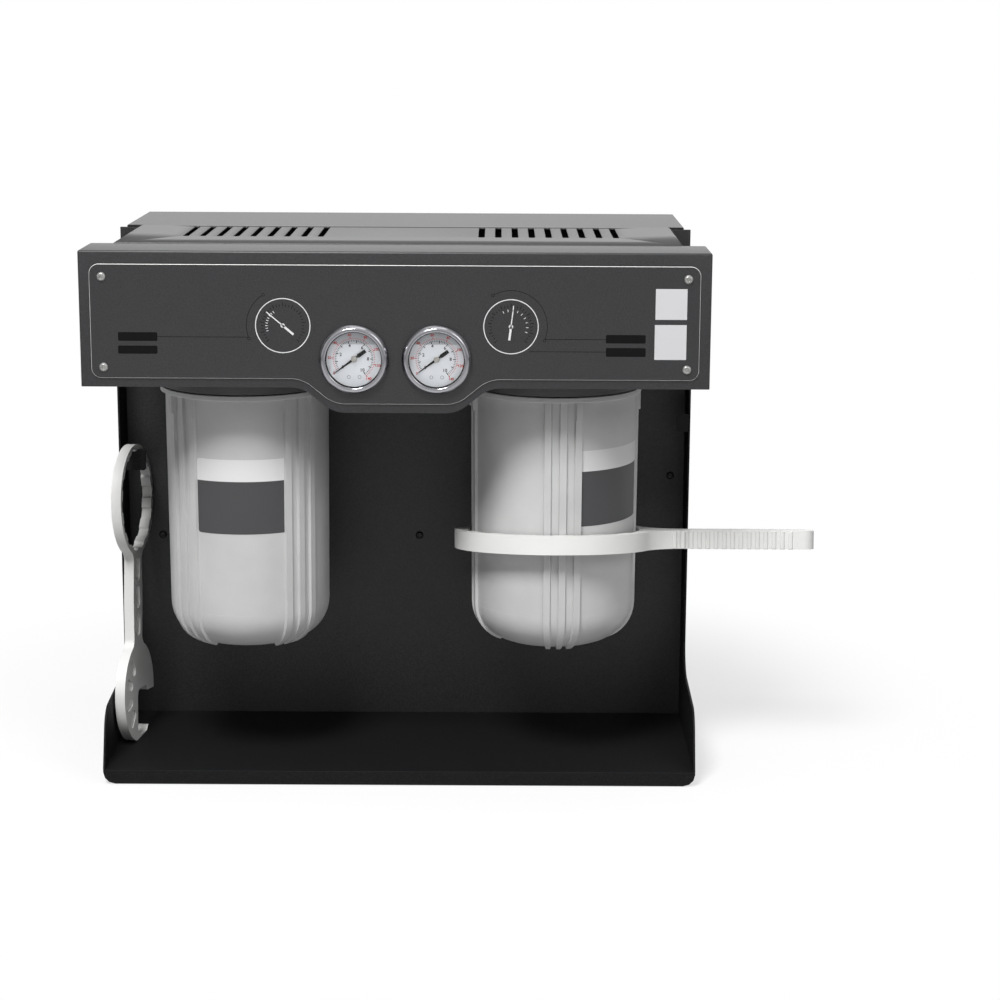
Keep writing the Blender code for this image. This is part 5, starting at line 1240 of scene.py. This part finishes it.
zinc = surface("zinc_plated_steel", "#9A9A98", 0.3, 1.0)[0]
for index in range(1, 5):
    place = centre_of(f"fascia_screw_{index}")
    place.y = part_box(f"fascia_screw_{index}")[0].y + SCREW_HEIGHT
    screw = turned((
        (0, -SCREW_LENGTH, 0), (SCREW_SHANK, -SCREW_LENGTH, 0.0005), (SCREW_SHANK, 0, 0), (SCREW_HEAD, 0, 0),
        (SCREW_HEAD, SCREW_HEIGHT / 3, 0.0007), (SCREW_HEAD * SCREW_CROWN, SCREW_HEIGHT, 0.0012),
        (SCREW_SOCKET, SCREW_HEIGHT, 0.0002), (SCREW_SOCKET, SCREW_HEIGHT - SCREW_SOCKET_DEPTH, 0),
        (0, SCREW_HEIGHT - SCREW_SOCKET_DEPTH, 0),
    ), 48, place, TO_FRONT)
    piece(f"fascia_screw_head_{index}", screw, zinc, f"fascia_screw_{index}")

# Panel screws
# Black-oxide pan heads that hold the back panel, in the frame's own shape.
black_steel = surface("black_oxide_steel", "#1A1A1B", 0.42, 0.6)[0]
for index in range(1, 4):
    from_frame(f"panel_screw_{index}", black_steel, width=0.0003)

# Ports and gland
# Turned brass ports with a faintly grained face for the three pipes, and a moulded nylon gland beside them.
# They pass through the door near its upper edge and are fixed from behind it.
FITTING_EDGE = 0.0005


def grained(name, base, roughness, metallic, grain, contrast):
    """A metal or paint whose tone and gloss drift a little, with a fine grain."""
    material, tree, shader = surface(name, base, roughness, metallic)
    drift(tree, shader, base, roughness, noise(tree, grain, 5.0, 0.6), contrast, (0.8, 1.25))
    return material


brass = grained("turned_brass", "#B08A4C", 0.3, 1.0, 0.006, 0.06)
for name in ("inlet_port", "permeate_port", "drain_port"):
    from_frame(name, brass, FITTING_EDGE)
from_frame("cable_gland", head_plastic, FITTING_EDGE)

# Pump and motor
# A rotary-vane pump head forged in brass on the motor's front, the motor's painted body, its zinc-plated
# rotor and fan, and the black pressed cover over the fan. The solenoid valve sits on the inlet pipe.
motor_paint = grained("grey_motor_enamel", "#4A5058", 0.38, 0.0, 0.008, 0.05)
for name, material, width in (
    ("pump_head", brass, 0.0008), ("motor_body", motor_paint, 0.0006), ("motor_rotor", zinc, 0.0003),
    ("fan_cover", head_plastic, 0.0005), ("solenoid_valve", head_plastic, 0.0008),
):
    from_frame(name, material, width)

# Membrane vessels
# Two white glass-fibre wound vessels with black caps in a zinc-plated bracket. The membranes in them and
# the cartridges in the sumps are of off-white polypropylene felt, and the seals of black rubber.
vessel_white = grained("white_wound_vessel", "#E4E3DE", 0.35, 0.0, 0.01, 0.03)
felt = moulded("polypropylene_felt", "#E6E2D6", 0.85, 0.0008, 0.6, 0.06)
rubber = moulded("black_nitrile_rubber", "#151515", 0.6, 0.001, 0.15)
for index in (1, 2):
    from_frame(f"membrane_vessel_{index}", vessel_white, width=0.0006)
    from_frame(f"vessel_cap_{index}", head_plastic, width=0.0006)
    from_frame(f"membrane_{index}", felt, width=0.0005)
from_frame("vessel_bracket", zinc, width=0.0004)
for side in ("left", "right"):
    from_frame(f"{side}_cartridge", felt, width=0.0005)
    from_frame(f"{side}_o_ring", rubber, width=0.0002, segments=1)

# Pipes and buttons
# White polypropylene pipes and the moulded feed manifold. Each filter head has a red push button that
# lets its pressure off.
pipe_white = moulded("white_polypropylene_pipe", "#E8E8E4", 0.4, 0.001, 0.1, 0.03)
button_red = moulded("red_push_button", "#A8201C", 0.35, 0.001, 0.08, 0.03)
for name in ("cross_pipe", "inlet_pipe", "transfer_pipe", "feed_manifold"):
    from_frame(name, pipe_white, width=0.0004)
for side in ("left", "right"):
    from_frame(f"{side}_relief_button", button_red, width=0.0005)

# Control box
# A light grey moulded box with the unit's electronics, screwed to the casing's side. As on any moulding,
# its edges are rounder than those of the sheet metal.
box_grey = moulded("light_grey_enclosure", "#A9ACAF", 0.45, 0.001, 0.12, 0.03)
from_frame("control_box", box_grey, width=0.0015)
